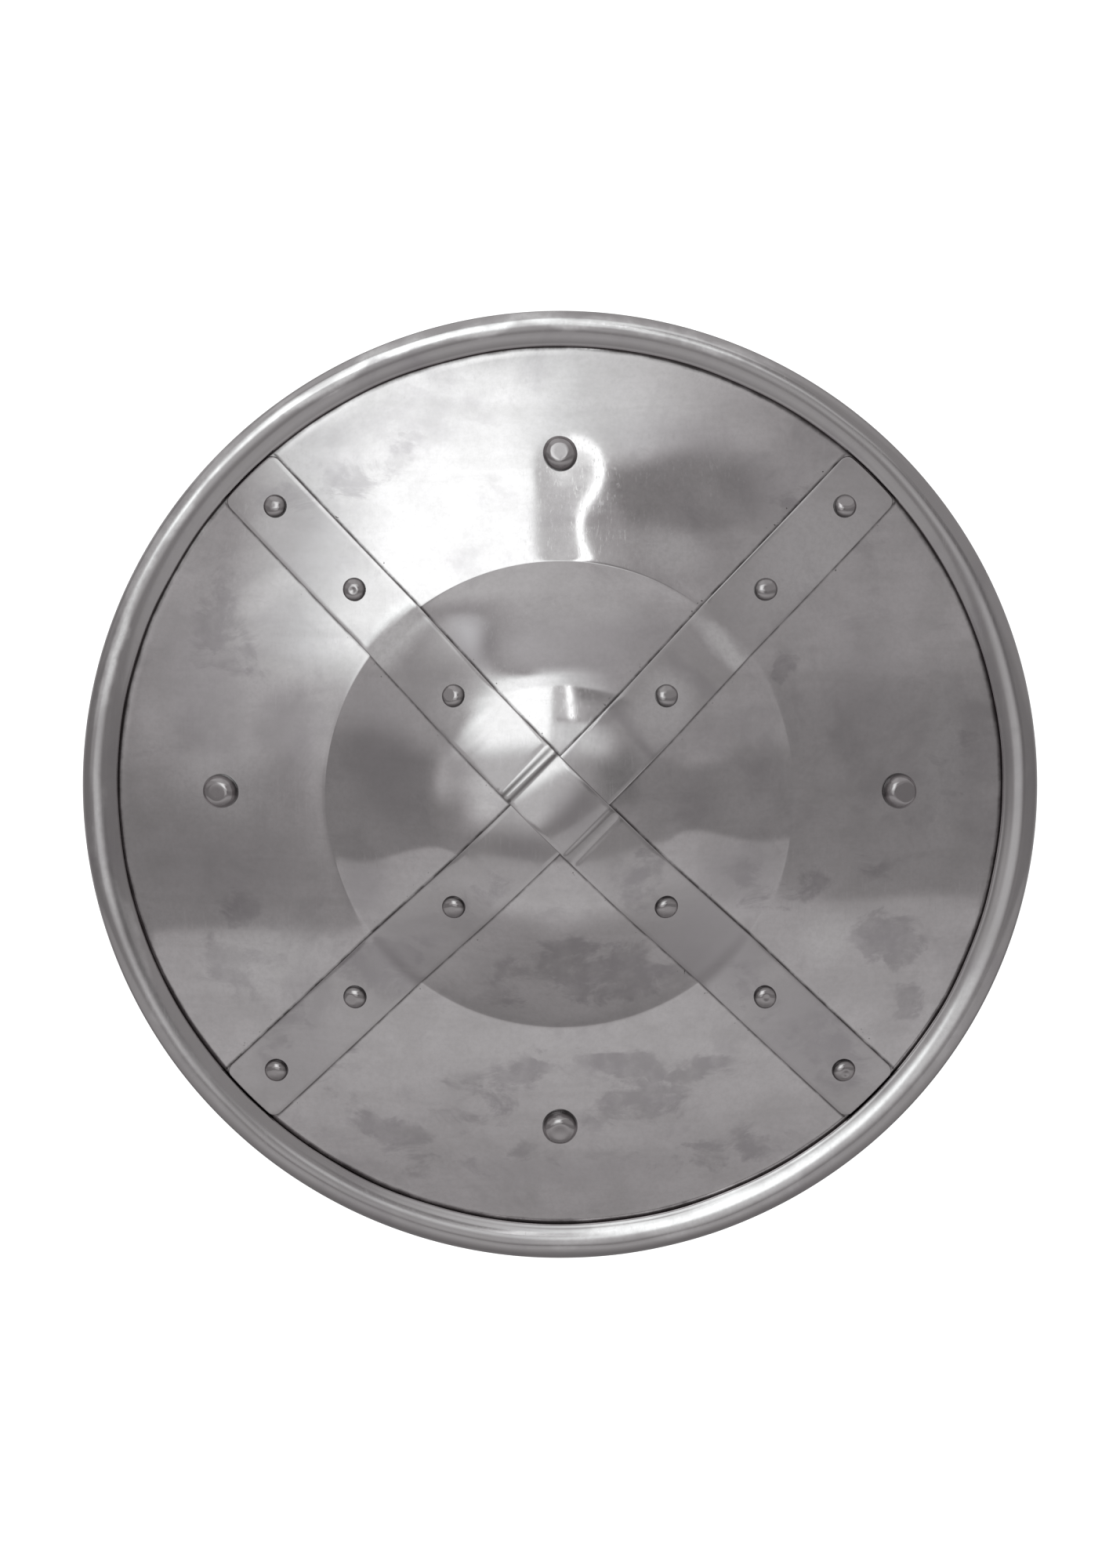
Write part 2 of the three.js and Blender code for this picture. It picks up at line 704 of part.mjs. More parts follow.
function makeBuckleFrame() {
  const half = armWidth / 2 + buckleSideGap + buckleBarRadius;
  const cross = rod(buckleBarRadius, -half, half, barSides);
  const side = rod(buckleBarRadius, 0, buckleLength, barSides).rotateY(rightAngle);
  const corner = new THREE.SphereGeometry(buckleBarRadius, barSides, barSides / 2);
  const bars = [cross, cross.clone().translate(buckleLength, 0, 0)];
  [-half, half].forEach((place) => {
    bars.push(side.clone().translate(0, 0, place));
    bars.push(corner.clone().translate(0, 0, place));
    bars.push(corner.clone().translate(buckleLength, 0, place));
  });
  return fromSolid(bars.map(toSolid).reduce((frame, bar) => frame.add(bar)));
}

function makeTongue() {
  const bore = buckleBarRadius + clearance;
  const half = tongueRingWidth / 2;
  const ring = turned([
    [bore, -half],
    [bore + tongueRingWall, -half],
    [bore + tongueRingWall, half],
    [bore, half],
    [bore, -half],
  ], barSides);
  const end = buckleLength + tongueOverhang;
  const shaft = turned([
    [0, bore + tongueRingWall / 2],
    [tongueRadius, bore + tongueRingWall / 2],
    ...arcPoints([0, end - tongueRadius], tongueRadius, 0, rightAngle, domeSteps),
  ], barSides);
  shaft.rotateY(rightAngle).rotateZ(tongueRest);
  return fromSolid(toSolid(ring).add(toSolid(shaft)));
}

function makeKeeper() {
  const low = -foldRadius - leatherThickness / 2 - clearance;
  const high = low + 3 * layerPitch + clearance;
  const half = armWidth / 2 + clearance;
  const far = -keeperPlace - keeperWidth;
  const outer = blockBetween(
    new THREE.Vector3(far, low - keeperThickness, -half - keeperThickness),
    new THREE.Vector3(-keeperPlace, high + keeperThickness, half + keeperThickness),
  );
  const inner = blockBetween(
    new THREE.Vector3(far - cutOverrun, low, -half),
    new THREE.Vector3(-keeperPlace + cutOverrun, high, half),
  );
  return fromSolid(toSolid(outer).subtract(toSolid(inner)));
}

// The plane of a strap whose chord lies across the given direction of the face
function strapPlane(direction) {
  const chord = new THREE.Vector3(-Math.sin(direction), Math.cos(direction), 0);
  const outward = new THREE.Vector3(
    Math.cos(direction) * Math.sin(strapTilt),
    Math.sin(direction) * Math.sin(strapTilt),
    Math.cos(strapTilt),
  );
  const matrix = new THREE.Matrix4().makeBasis(chord, outward, chord.clone().cross(outward));
  const plane = new THREE.Group();
  plane.applyMatrix4(matrix.setPosition(0, 0, dishCentre));
  return plane;
}

function addGripStrap(parent) {
  const plane = strapPlane(3 * rightAngle / 2);
  addPiece(plane, 'grip_strap', makeGripStrap(), leather);
  parent.add(plane);
}

function addArmStrap(parent) {
  const plane = strapPlane(-rightAngle / 2);
  addPiece(plane, 'arm_strap_buckle_end', makeBuckleEnd(), leather);
  addPiece(plane, 'arm_strap_billet', makeBillet(), leather);
  const buckle = new THREE.Group();
  buckle.applyMatrix4(buckleMatrix());
  addPiece(buckle, 'buckle_frame', makeBuckleFrame(), brass);
  addPiece(buckle, 'buckle_tongue', makeTongue(), brass);
  addPiece(buckle, 'keeper_loop', makeKeeper(), leather);
  plane.add(buckle);
  parent.add(plane);
}

function makeBuckler() {
  const face = new THREE.Group();
  addPiece(face, 'shield_plate', makePlate(), steel);
  addPiece(face, 'rim_binding', makeRim(), steel);
  addPiece(face, 'rim_wire', makeWire(), wireSteel);
  const onArms = (first) => bandRivets.filter(({ quarter }) => quarter % 2 === first);
  addPiece(face, 'band_lower', makeBand(rightAngle / 2, 0, onArms(0)), steel);
  addPiece(face, 'band_upper', makeBand(-rightAngle / 2, joggleLift, onArms(1)), steel);
  addRivets(face);
  addGripStrap(face);
  addArmStrap(face);
  const buckler = new THREE.Group();
  face.rotation.x = rightAngle;
  buckler.add(face);
  return buckler;
}

export default makeBuckler();
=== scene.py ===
"""The looks of a round steel buckler with leather straps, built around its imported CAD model.

Sizes are in millimetres. The pieces are shaped in face axes, with x to the right and y upwards on the
face and z out of it. to_row() turns them into the row frame, in metres.
"""
import math
import random
from functools import cached_property

import bmesh
import bpy
import numpy as np
from mathutils import Matrix, Vector


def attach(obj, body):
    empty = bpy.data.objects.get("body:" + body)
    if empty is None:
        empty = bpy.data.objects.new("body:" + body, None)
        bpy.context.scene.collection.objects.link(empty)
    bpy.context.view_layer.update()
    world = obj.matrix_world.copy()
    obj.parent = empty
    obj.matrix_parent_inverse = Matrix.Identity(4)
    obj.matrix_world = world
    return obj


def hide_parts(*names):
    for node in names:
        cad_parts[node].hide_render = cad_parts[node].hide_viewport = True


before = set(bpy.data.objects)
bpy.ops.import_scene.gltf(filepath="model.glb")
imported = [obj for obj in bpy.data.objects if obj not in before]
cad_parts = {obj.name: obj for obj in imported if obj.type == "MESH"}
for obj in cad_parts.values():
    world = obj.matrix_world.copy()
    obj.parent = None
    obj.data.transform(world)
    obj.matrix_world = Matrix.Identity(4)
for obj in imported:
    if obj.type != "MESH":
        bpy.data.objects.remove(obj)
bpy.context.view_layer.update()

# Units
MM = 0.001
RIGHT_ANGLE = math.pi / 2
FULL_TURN = 2 * math.pi

# Plate and boss, as in the CAD source
CLEARANCE = 0.3
SHIELD_RADIUS = 175.0
PLATE_THICKNESS = 1.6
DISH_RADIUS = 405.0
BOSS_RADIUS = 85.7
BOSS_HEIGHT = 28.7
BOSS_CONE_HEIGHT = 68.9
RIM_WIDTH = 12.8
RIM_SHEET = 1.2
WIRE_RADIUS = 2.25

# The plate's finer shape: a soft crease, a hollow in the boss's flank, ripples and hammer marks
CREASE_DEPTH = 0.12
FLANK_HOLLOW = 1.9
FLANK_PLACE = 64.0
FLANK_REACH = 21.7
SLOPE_STEP = 0.05
# Ripples: seed, number, shortest and longest wave, height
PLATE_RIPPLES = (3, 18, 38.0, 95.0, 0.022)
BAND_RIPPLES = (8, 12, 22.0, 60.0, 0.012)
# Flats and hollows left by the hammer: x, y, reach, height
HAMMER_MARKS = (
    (4.0, 119.0, 14.0, -0.12),
    (18.0, 98.0, 13.0, -0.12),
    (52.0, 98.0, 18.0, 0.20),
    (-22.0, 140.0, 30.0, 0.10),
    (52.0, 18.0, 17.0, 0.12),
    (66.0, -14.0, 16.0, -0.10),
    (48.0, -4.0, 12.0, 0.08),
)

# The rim's finer shape. CROWN_INSET is from the rim's outer edge, LIP_FALL from its crown down to the lip.
CROWN_INSET = 5.4
LIP_FALL = 1.8
LIP_POWER = 2.2
LIP_ROUND = 0.8
RIM_TRIM = 0.02
EDGE_SOFT = 0.25
# The rim's waviness: seed, waves round the rim, height at the lip, and the crown's and rise's shares
RIM_SEED = 5
RIM_WAVES = range(3, 34, 2)
RIM_DRIFT = 0.11
CROWN_DRIFT = 1.6
LIP_RISE = 1 / 3

# Bands
BAND_WIDTH = 25.4
BAND_THICKNESS = 1.5
BAND_END_GAP = 0.6
BAND_CORNER = 3.2
BAND_BEND_DEPTH = 0.8
BAND_EDGE_ROUND = 0.4
JOGGLE_MARGIN = 0.6
JOGGLE_LENGTH = 7.5
# How far the middle of the crossing stands over its edges
CROSSING_DOME = 1.15
# A low ridge across each arm near the crossing, and a swelling where the band bends over the crease
RIDGE_PLACE = 38.0
RIDGE_REACH = 1.3
RIDGE_HEIGHT = 0.06
BEND_SWELL = 0.35
BEND_SWELL_INSET = 1.7
BEND_SWELL_REACH = 3.6
# The upper band's ripples are moved along by this many times its joggle
RIPPLE_SHIFT = 7.0
# Painted shade in the joggle's folds: how far past the crossing's flat, how far it reaches and how dark it is
JOGGLE_SHADE_LEFT = ((1.0, 1.1, 0.85), (3.9, 0.9, 0.75))
JOGGLE_SHADE_RIGHT = ((2.4, 1.8, 0.35),)
# How closely the dirt and painted shade keep to the bands' edges
DIRT_AND_SHADE_POWER = 6

# Rivets and washers
BAND_RIVET_RADII = (54.0, 105.6, 146.5)
BAND_HEAD_RADIUS = 4.25
BAND_HEAD_HEIGHT = 3.0
BAND_SHANK_RADIUS = 2.2
BAND_FLAT_RADIUS = BAND_SHANK_RADIUS / 4
BAND_TAIL_RADIUS = 3.6
BAND_TAIL_HEIGHT = 1.6
STRAP_RIVET_PLACE = 124.0
STRAP_HEAD_RADIUS = 6.4
STRAP_HEAD_HEIGHT = 5.0
STRAP_FLAT_RADIUS = 2.8
STRAP_SHANK_RADIUS = 3.0
STRAP_TAIL_RADIUS = 4.7
STRAP_TAIL_HEIGHT = 2.0
WASHER_RADIUS = 8.0
WASHER_THICKNESS = 1.2
# The straight foot under a head's dome, and the inner ring of its flat as a share of the flat
HEAD_FOOT = 0.35
FLAT_RING = 0.6
# How uneven the heads are, as shares of their radius: longer one way, and in lumps round the edge
HEAD_STRETCH = 0.03
HEAD_LUMP = 0.012
LUMPS = 5
LUMP_LEAN = 3
# A dimple's reach as a share of the head's radius
DIMPLE_REACH = 0.42
# The painted shade at a head's foot ends at and fades over these shares of its height
FOOT_SHADE = 0.75
FOOT_FADE = 0.45
ARM_NAMES = ("upper_right", "upper_left", "lower_left", "lower_right")
PLACE_NAMES = ("inner", "middle", "outer")
QUARTER_NAMES = ("east", "north", "west", "south")
# How each head was finished: lean x and y, depth of a dimple, depth of a filed flat
BAND_WEAR = {
    "upper_right_outer": (0.3, 0.3, 0.0, 0.12),
    "upper_left_middle": (-0.4, 0.5, 0.35, 0.0),
    "upper_left_inner": (0.1, 0.15, 0.0, 0.2),
    "lower_right_outer": (0.3, -0.2, 0.45, 0.0),
    "lower_right_middle": (-0.5, 0.4, 0.25, 0.0),
    "lower_left_middle": (0.12, -0.1, 0.0, 0.15),
}
STRAP_WEAR = {
    "east": (0.16, 0.0, 0.0, 0.1),
    "north": (0.0, 0.02, 0.0, 0.0),
    "west": (-0.10, 0.12, 0.0, 0.0),
    "south": (0.1, -0.1, 0.35, 0.0),
}
PLAIN_WEAR = (0.0, 0.0, 0.0, 0.0)

# Straps
LEATHER = 2.8
GRIP_WIDTH = 30.0
GRIP_ROOM = 45.0
GRIP_FOOT_RADIUS = 15.0
ARM_WIDTH = 25.0
ARM_ROOM = 78.0
ARM_FOOT_RADIUS = 12.0
TAB_REACH = 14.0
BAR_RADIUS = 2.0
BUCKLE_LENGTH = 22.0
BUCKLE_SIDE_GAP = 1.0
FOLD_BEND_RADIUS = 6.0
FOLD_TAIL = 16.0
FOLD_CORNER = 3.0
HEEL_HEIGHT = 29.5
RAMP_BEND_RADIUS = 8.0
TONGUE_RADIUS = 1.5
TONGUE_RING_WIDTH = 4.0
TONGUE_RING_WALL = 1.5
TONGUE_OVERHANG = 3.5
KEEPER_WIDTH = 8.0
KEEPER_THICKNESS = 1.6
KEEPER_PLACE = 16.0
BILLET_TIP = 33.0
TIP_LENGTH = 9.0
TIP_POWER = 1.5
GRIP_FLANK = math.radians(45)
ARM_FLANK = math.radians(60)
FOLD_ANGLE = math.radians(25)
RAMP_ANGLE = math.radians(35)
BUCKLE_SWING = math.radians(8)
TONGUE_SWING = math.radians(12)
# The leather's rounded edge and its largest shares of a narrow strap's half width and half thickness
STRIP_ROUND = 0.9
ROUND_WIDTH_SHARE = 0.6
ROUND_THICKNESS_SHARE = 0.9
# The creased line near each edge
GROOVE_INSET = 2.6
GROOVE_DEPTH = 0.28
GROOVE_HALF = 0.55
# The narrowest widths at a round end and at the billet's tip, as shares of the half width
END_SHARE = 0.12
TIP_SHARE = 0.08
# The tongue's shaft swells towards its ring by these shares
SHAFT_ROOT = 1.2
SHAFT_NECK = 1.15

# Stitches. THREAD_END is how much of a stitch's thickness is left at its ends.
STITCH_INSET = 3.6
STITCH_PITCH = 4.6
STITCH_LENGTH = 3.7
THREAD_RADIUS = 0.42
THREAD_END = 0.05

# Fineness of the meshes: steps in millimetres, or numbers of sides and steps
RING_STEP = 2.0
CREASE_REACH = 6.0
BACK_RING_STEP = 4.0
BAND_STEP = 1.5
BAND_BEND_STEP = 0.7
JOGGLE_STEP = 0.4
STRAP_STEP = 1.2
BEND_PART = math.radians(7)
BEND_PARTS = 3
TURNED_SIDES = 384
CREASE_STEPS = 16
BEAD_STEPS = 16
SLOPE_STEPS = 10
LIP_STEPS = 10
BAND_CELLS = 18
BAND_ROUND_STEPS = 4
BAND_CORNER_STEPS = 8
RIVET_SIDES = 40
HEAD_STEPS = 14
TAIL_STEPS = 8
STRIP_CELLS = 10
STRIP_ROUND_STEPS = 4
GROOVE_STEPS = 4
END_STEPS = 13
END_START = 0.12
SLOT_STEPS = 12
STITCH_STEPS = 6
THREAD_SIDES = 8
FRAME_CORNER_STEPS = 8
FRAME_SIDES = 20
TONGUE_RING_SIDES = 28
TONGUE_SIDES = 18
TONGUE_TIP_STEPS = 6
KEEPER_CORNER_STEPS = 6
# Points closer than this are one, in metres
WELD = 1e-6

# Worked out from the sizes above
PLATE_BACK = RIM_SHEET + CLEARANCE
PLATE_FRONT = PLATE_BACK + PLATE_THICKNESS
GROOVE_RADIUS = SHIELD_RADIUS - RIM_WIDTH
BEAD_RADIUS = WIRE_RADIUS + CLEARANCE + RIM_SHEET
BEAD_PLACE = SHIELD_RADIUS - BEAD_RADIUS
PLATE_EDGE = BEAD_PLACE - WIRE_RADIUS - CLEARANCE
DISH_CENTRE = PLATE_FRONT - math.sqrt(DISH_RADIUS**2 - GROOVE_RADIUS**2)
DISH_BACK_RADIUS = DISH_RADIUS - PLATE_THICKNESS
BOSS_POWER = BOSS_CONE_HEIGHT / BOSS_HEIGHT
BAND_HALF = BAND_WIDTH / 2
BAND_END = GROOVE_RADIUS - BAND_END_GAP
CROSSING_FLAT = BAND_HALF + JOGGLE_MARGIN
TAB_GAP = CLEARANCE + GRIP_WIDTH**2 / (8 * DISH_BACK_RADIUS)
WASHER_TOP = -PLATE_THICKNESS - TAB_GAP - LEATHER - CLEARANCE
ARM_HALF = ARM_WIDTH / 2


# The face of the shield


def smooth_step(value):
    value = np.clip(value, 0, 1)
    return value * value * (3 - 2 * value)


def make_waves(seed, count, shortest, longest, height):
    """Ripples in all directions, as (wave vector, phase, height) rows."""
    draw = random.Random(seed)
    waves = []
    for _ in range(count):
        length = draw.uniform(shortest, longest)
        turn = draw.uniform(0, math.pi)
        number = FULL_TURN / length
        waves.append((number * math.cos(turn), number * math.sin(turn), draw.uniform(0, FULL_TURN), height))
    return np.array(waves)


PLATE_WAVES = make_waves(*PLATE_RIPPLES)
BAND_WAVES = make_waves(*BAND_RIPPLES)


def ripple(waves, x, y):
    total = np.zeros(np.broadcast(x, y).shape)
    for wave_x, wave_y, phase, height in waves:
        total += height * np.cos(wave_x * x + wave_y * y + phase)
    return total


def hammered(x, y):
    total = np.zeros(np.broadcast(x, y).shape)
    for mark_x, mark_y, reach, height in HAMMER_MARKS:
        share = ((x - mark_x) ** 2 + (y - mark_y) ** 2) / reach**2
        total += height * np.clip(1 - share, 0, 1) ** 2
    return total


def dish_height(radius):
    return DISH_CENTRE + np.sqrt(DISH_RADIUS**2 - radius**2)


def boss_surface(radius):
    hollow = np.clip(1 - ((radius - FLANK_PLACE) / FLANK_REACH) ** 2, 0, 1) ** 2
    fall = (radius / BOSS_RADIUS) ** BOSS_POWER
    return dish_height(BOSS_RADIUS) + BOSS_HEIGHT * (1 - fall) - FLANK_HOLLOW * hollow


def face_height(x, y, depth=CREASE_DEPTH):
    """The face's height with its ripples and hammer marks, and its crease filled to a depth."""
    radius = np.hypot(x, y)
    boss = boss_surface(radius)
    dish = dish_height(radius)
    quiet = np.clip((GROOVE_RADIUS - radius) / RIM_WIDTH, 0, 1)
    uneven = quiet * (ripple(PLATE_WAVES, x, y) + hammered(x, y))
    return (boss + dish) / 2 + np.hypot((boss - dish) / 2, depth) + uneven


def face_normal(x, y, depth=CREASE_DEPTH):
    step = SLOPE_STEP
    slope_x = (face_height(x + step, y, depth) - face_height(x - step, y, depth)) / (2 * step)
    slope_y = (face_height(x, y + step, depth) - face_height(x, y - step, depth)) / (2 * step)
    normal = np.stack([-slope_x, -slope_y, np.ones_like(slope_x)], -1)
    return normal / np.linalg.norm(normal, axis=-1, keepdims=True)


def face_tilt(radius):
    if radius >= BOSS_RADIUS:
        return math.asin(radius / DISH_RADIUS)
    return math.atan(BOSS_CONE_HEIGHT / BOSS_RADIUS * (radius / BOSS_RADIUS) ** (BOSS_POWER - 1))


def seat(radius, angle):
    """The seat of a rivet on the face: its z axis is the face's normal there."""
    x, y = radius * math.cos(angle), radius * math.sin(angle)
    place = Vector((x, y, float(face_height(np.array(x), np.array(y)))))
    turn = Matrix.Rotation(angle, 4, "Z") @ Matrix.Rotation(face_tilt(radius), 4, "Y")
    return Matrix.Translation(place) @ turn


# Meshes


def to_row(points):
    """Points in face axes and millimetres, as points of the row frame in metres."""
    points = np.asarray(points, float).reshape(-1, 3)
    return np.stack([points[:, 0], -points[:, 2], points[:, 1]], -1) * MM


def put_in_scene(name, data):
    thing = bpy.data.objects.new(name, data)
    bpy.context.scene.collection.objects.link(thing)
    return thing


def add_object(name, points, faces, material, marks=None, kind="edge"):
    """A smooth closed mesh from points in face axes, with a mark on each point that its material reads."""
    mesh = bpy.data.meshes.new(name)
    mesh.from_pydata(to_row(points).tolist(), [], faces)
    if marks is not None:
        marks = np.asarray(marks, np.float32).ravel()
        mesh.attributes.new(kind, "FLOAT", "POINT").data.foreach_set("value", marks)
    shape = bmesh.new()
    shape.from_mesh(mesh)
    bmesh.ops.remove_doubles(shape, verts=shape.verts, dist=WELD)
    bmesh.ops.dissolve_degenerate(shape, edges=shape.edges, dist=WELD)
    bmesh.ops.recalc_face_normals(shape, faces=shape.faces)
    for face in shape.faces:
        face.smooth = True
    shape.to_mesh(mesh)
    shape.free()
    mesh.materials.append(material)
    return put_in_scene(name, mesh)


def dress(piece, body, node):
    """The piece moves with a body and stands for a CAD node, whose part is hidden."""
    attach(piece, body)
    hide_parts(node)


def grid_faces(rows, columns, wrap_columns=True, wrap_rows=False):
    faces = []
    for i in range(rows if wrap_rows else rows - 1):
        for j in range(columns if wrap_columns else columns - 1):
            here, there = i * columns, (i + 1) % rows * columns
            k = (j + 1) % columns
            faces.append((here + j, here + k, there + k, there + j))
    return faces


def capped_faces(rows, columns):
    """Faces of a tube of rows, closed at both ends."""
    faces = grid_faces(rows, columns)
    faces.append(tuple(reversed(range(columns))))
    faces.append(tuple(range((rows - 1) * columns, rows * columns)))
    return faces


def shifted_faces(faces, start):
    return [tuple(corner + start for corner in face) for face in faces]


def transform(points, matrix):
    points = np.asarray(points, float)
    flat = points.reshape(-1, 3)
    moved = flat @ np.array(matrix.to_3x3()).T + np.array(matrix.translation)
    return moved.reshape(points.shape)


def round_angles(sides):
    return np.linspace(0, FULL_TURN, sides, endpoint=False)


def turned(profile, sides):
    """Rows of points of a profile of (radius, height) turned about z."""
    cos, sin = np.cos(round_angles(sides)), np.sin(round_angles(sides))
    rows = [np.stack([radius * cos, radius * sin, np.full(sides, height)], -1) for radius, height in profile]
    return np.array(rows)


def arc(centre, radius, start, end, steps):
    angles = np.linspace(start, end, steps + 1)
    return [(centre[0] + radius * math.cos(a), centre[1] + radius * math.sin(a)) for a in angles]


# Plate and rim


def make_plate():
    angles = round_angles(TURNED_SIDES)
    crease = BOSS_RADIUS + CREASE_REACH * np.linspace(-1, 1, CREASE_STEPS + 1) ** 3
    inner = np.arange(RING_STEP, crease[0] - RING_STEP / 2, RING_STEP)
    outer = np.linspace(crease[-1], PLATE_EDGE, round((PLATE_EDGE - crease[-1]) / RING_STEP) + 1)[1:]
    radii = np.concatenate([[0.0], inner, crease, outer])
    x, y = radii[:, None] * np.cos(angles), radii[:, None] * np.sin(angles)
    front = np.stack([x, y, face_height(x, y)], -1)
    front[radii > GROOVE_RADIUS, :, 2] = PLATE_FRONT
    inner = np.arange(BACK_RING_STEP, BOSS_RADIUS - BACK_RING_STEP / 2, BACK_RING_STEP)
    radii = np.concatenate([[0.0], inner, crease, outer[::2]])
    x, y = radii[:, None] * np.cos(angles), radii[:, None] * np.sin(angles)
    back = np.stack([x, y, face_height(x, y)], -1) - PLATE_THICKNESS * face_normal(x, y)
    brim = radii > GROOVE_RADIUS - RING_STEP
    back[brim] = np.stack([x, y, np.full_like(x, PLATE_BACK)], -1)[brim]
    rows = np.concatenate([front, back[::-1]])
    behind = np.repeat([0.0] * len(front) + [1.0] * len(back), TURNED_SIDES)
    faces = grid_faces(len(rows), TURNED_SIDES)
    piece = add_object("plate_finished", rows, faces, plate_steel, behind, "behind")
    dress(piece, "shield", "shield_plate")


def rim_profile():
    """Round outside and flatter inside, down to the lip's thick rounded edge on the plate."""
    centre = (BEAD_PLACE, BEAD_RADIUS)
    crown = SHIELD_RADIUS - RIM_TRIM - CROWN_INSET
    crown_height = 2 * BEAD_RADIUS
    lip_edge = GROOVE_RADIUS + LIP_ROUND
    lip_radius = (crown_height - LIP_FALL - PLATE_FRONT - CLEARANCE) / 2
    back_lip = GROOVE_RADIUS + CLEARANCE
    outside = arc(centre, BEAD_RADIUS - RIM_TRIM, -RIGHT_ANGLE, 0, BEAD_STEPS)[:-1]
    shoulder = [
        (crown + CROWN_INSET * math.cos(a), BEAD_RADIUS * (1 + math.sin(a)))
        for a in np.linspace(0, RIGHT_ANGLE, BEAD_STEPS)
    ]
    slope = [
        (crown + (lip_edge - crown) * share, crown_height - LIP_FALL * share**LIP_POWER)
        for share in np.linspace(0, 1, SLOPE_STEPS + 1)[1:-1]
    ]
    lip = [
        (lip_edge + LIP_ROUND * math.cos(a), PLATE_FRONT + CLEARANCE + lip_radius * (1 + math.sin(a)))
        for a in np.linspace(RIGHT_ANGLE, 3 * RIGHT_ANGLE, LIP_STEPS + 1)
    ]
    inside = arc(centre, BEAD_RADIUS - RIM_SHEET, RIGHT_ANGLE, -RIGHT_ANGLE, BEAD_STEPS)
    back_edge = [
        (back_lip + EDGE_SOFT, RIM_SHEET),
        (back_lip, RIM_SHEET - EDGE_SOFT),
        (back_lip, EDGE_SOFT),
        (back_lip + EDGE_SOFT, 0.0),
    ]
    return [*outside, *shoulder, *slope, *lip, *inside, *back_edge]


def make_rim():
    """The rim, with the lip's edge and the crown a little uneven, as rolled by hand."""
    profile = rim_profile()
    rows = turned(profile, TURNED_SIDES)
    angles = round_angles(TURNED_SIDES)
    draw = random.Random(RIM_SEED)
    drift = np.zeros(TURNED_SIDES)
    for waves in RIM_WAVES:
        drift += math.sqrt(1 / waves) * np.cos(waves * angles + draw.uniform(0, FULL_TURN))
    drift *= RIM_DRIFT
    crown_drift = np.roll(drift, TURNED_SIDES // 3) * CROWN_DRIFT
    for row, (radius, height) in enumerate(profile):
        share = np.clip((BEAD_PLACE - radius) / (BEAD_PLACE - GROOVE_RADIUS), 0, 1) * (height > RIM_SHEET)
        swell = max((height - BEAD_RADIUS) / BEAD_RADIUS, 0)
        out = share * drift + swell * (1 - share) * crown_drift
        rows[row] += np.stack([out * np.cos(angles), out * np.sin(angles), share * drift * LIP_RISE], -1)
    faces = grid_faces(len(rows), TURNED_SIDES, wrap_rows=True)
    piece = add_object("rim_finished", rows, faces, rim_steel)
    dress(piece, "shield", "rim_binding")


# Bands


def joggle_share(along):
    share = 1 - (abs(along) - CROSSING_FLAT) / JOGGLE_LENGTH
    return float(smooth_step(smooth_step(share)))


def band_marks(along, radius):
    """Low ridges left by the hammer: near the crossing, and where the band bends over the crease."""
    ridge = RIDGE_HEIGHT * math.exp(-(((abs(along) - RIDGE_PLACE) / RIDGE_REACH) ** 2))
    return ridge + BEND_SWELL * np.exp(-(((radius - BOSS_RADIUS + BEND_SWELL_INSET) / BEND_SWELL_REACH) ** 2))


def joggle_shade(along):
    """The painted shade in the joggle's folds: two lines on the upper left side, one on the lower right side.
    """
    lines = JOGGLE_SHADE_LEFT if along < 0 else JOGGLE_SHADE_RIGHT
    past = abs(along) - CROSSING_FLAT
    return max(dirt_and_shade * math.exp(-(((past - place) / reach) ** 2)) for place, reach, dirt_and_shade in lines)


def crossing_sink(along):
    """How far the crossing's domed top lies under its middle."""
    if abs(along) < CROSSING_FLAT:
        return CROSSING_DOME * (along / CROSSING_FLAT) ** 2
    return CROSSING_DOME * float(smooth_step(1 - (abs(along) - CROSSING_FLAT) / JOGGLE_LENGTH))


def band_stations():
    """Places along a band, each with the band's half width there."""
    corner_start = BAND_END - BAND_CORNER
    joggle_end = CROSSING_FLAT + JOGGLE_LENGTH + BAND_STEP
    bend_start, bend_end = BOSS_RADIUS - BAND_HALF, BOSS_RADIUS + BAND_HALF
    straight = np.concatenate([
        np.arange(0, joggle_end, JOGGLE_STEP),
        np.arange(joggle_end, bend_start, BAND_STEP),
        np.arange(bend_start, bend_end, BAND_BEND_STEP),
        np.linspace(bend_end, corner_start, round((corner_start - bend_end) / BAND_STEP) + 1),
    ])
    arm = [(along, BAND_HALF) for along in straight]
    for angle in np.linspace(0, RIGHT_ANGLE, BAND_CORNER_STEPS + 1)[1:]:
        narrowing = BAND_CORNER * (1 - math.cos(angle))
        arm.append((corner_start + BAND_CORNER * math.sin(angle), BAND_HALF - narrowing))
    return [(-along, half) for along, half in reversed(arm[1:])] + arm


def band_section(half):
    """Round a band: places across it, their depths under its top, and their dirt and painted shade."""
    radius = BAND_EDGE_ROUND
    inner = half - radius
    top = [(across * inner, 0.0, 0.0) for across in np.linspace(-1, 1, BAND_CELLS + 1)]
    right = [
        (inner + radius * math.sin(a), radius * (1 - math.cos(a)), math.sin(a) ** DIRT_AND_SHADE_POWER)
        for a in np.linspace(0, RIGHT_ANGLE, BAND_ROUND_STEPS + 1)[1:]
    ]
    left = [(-across, depth, dirt_and_shade) for across, depth, dirt_and_shade in reversed(right)]
    under = [(half, BAND_THICKNESS, 1.0), (0.0, BAND_THICKNESS, 0.0), (-half, BAND_THICKNESS, 1.0)]
    return np.array([*top, *right, *under, *left]).T


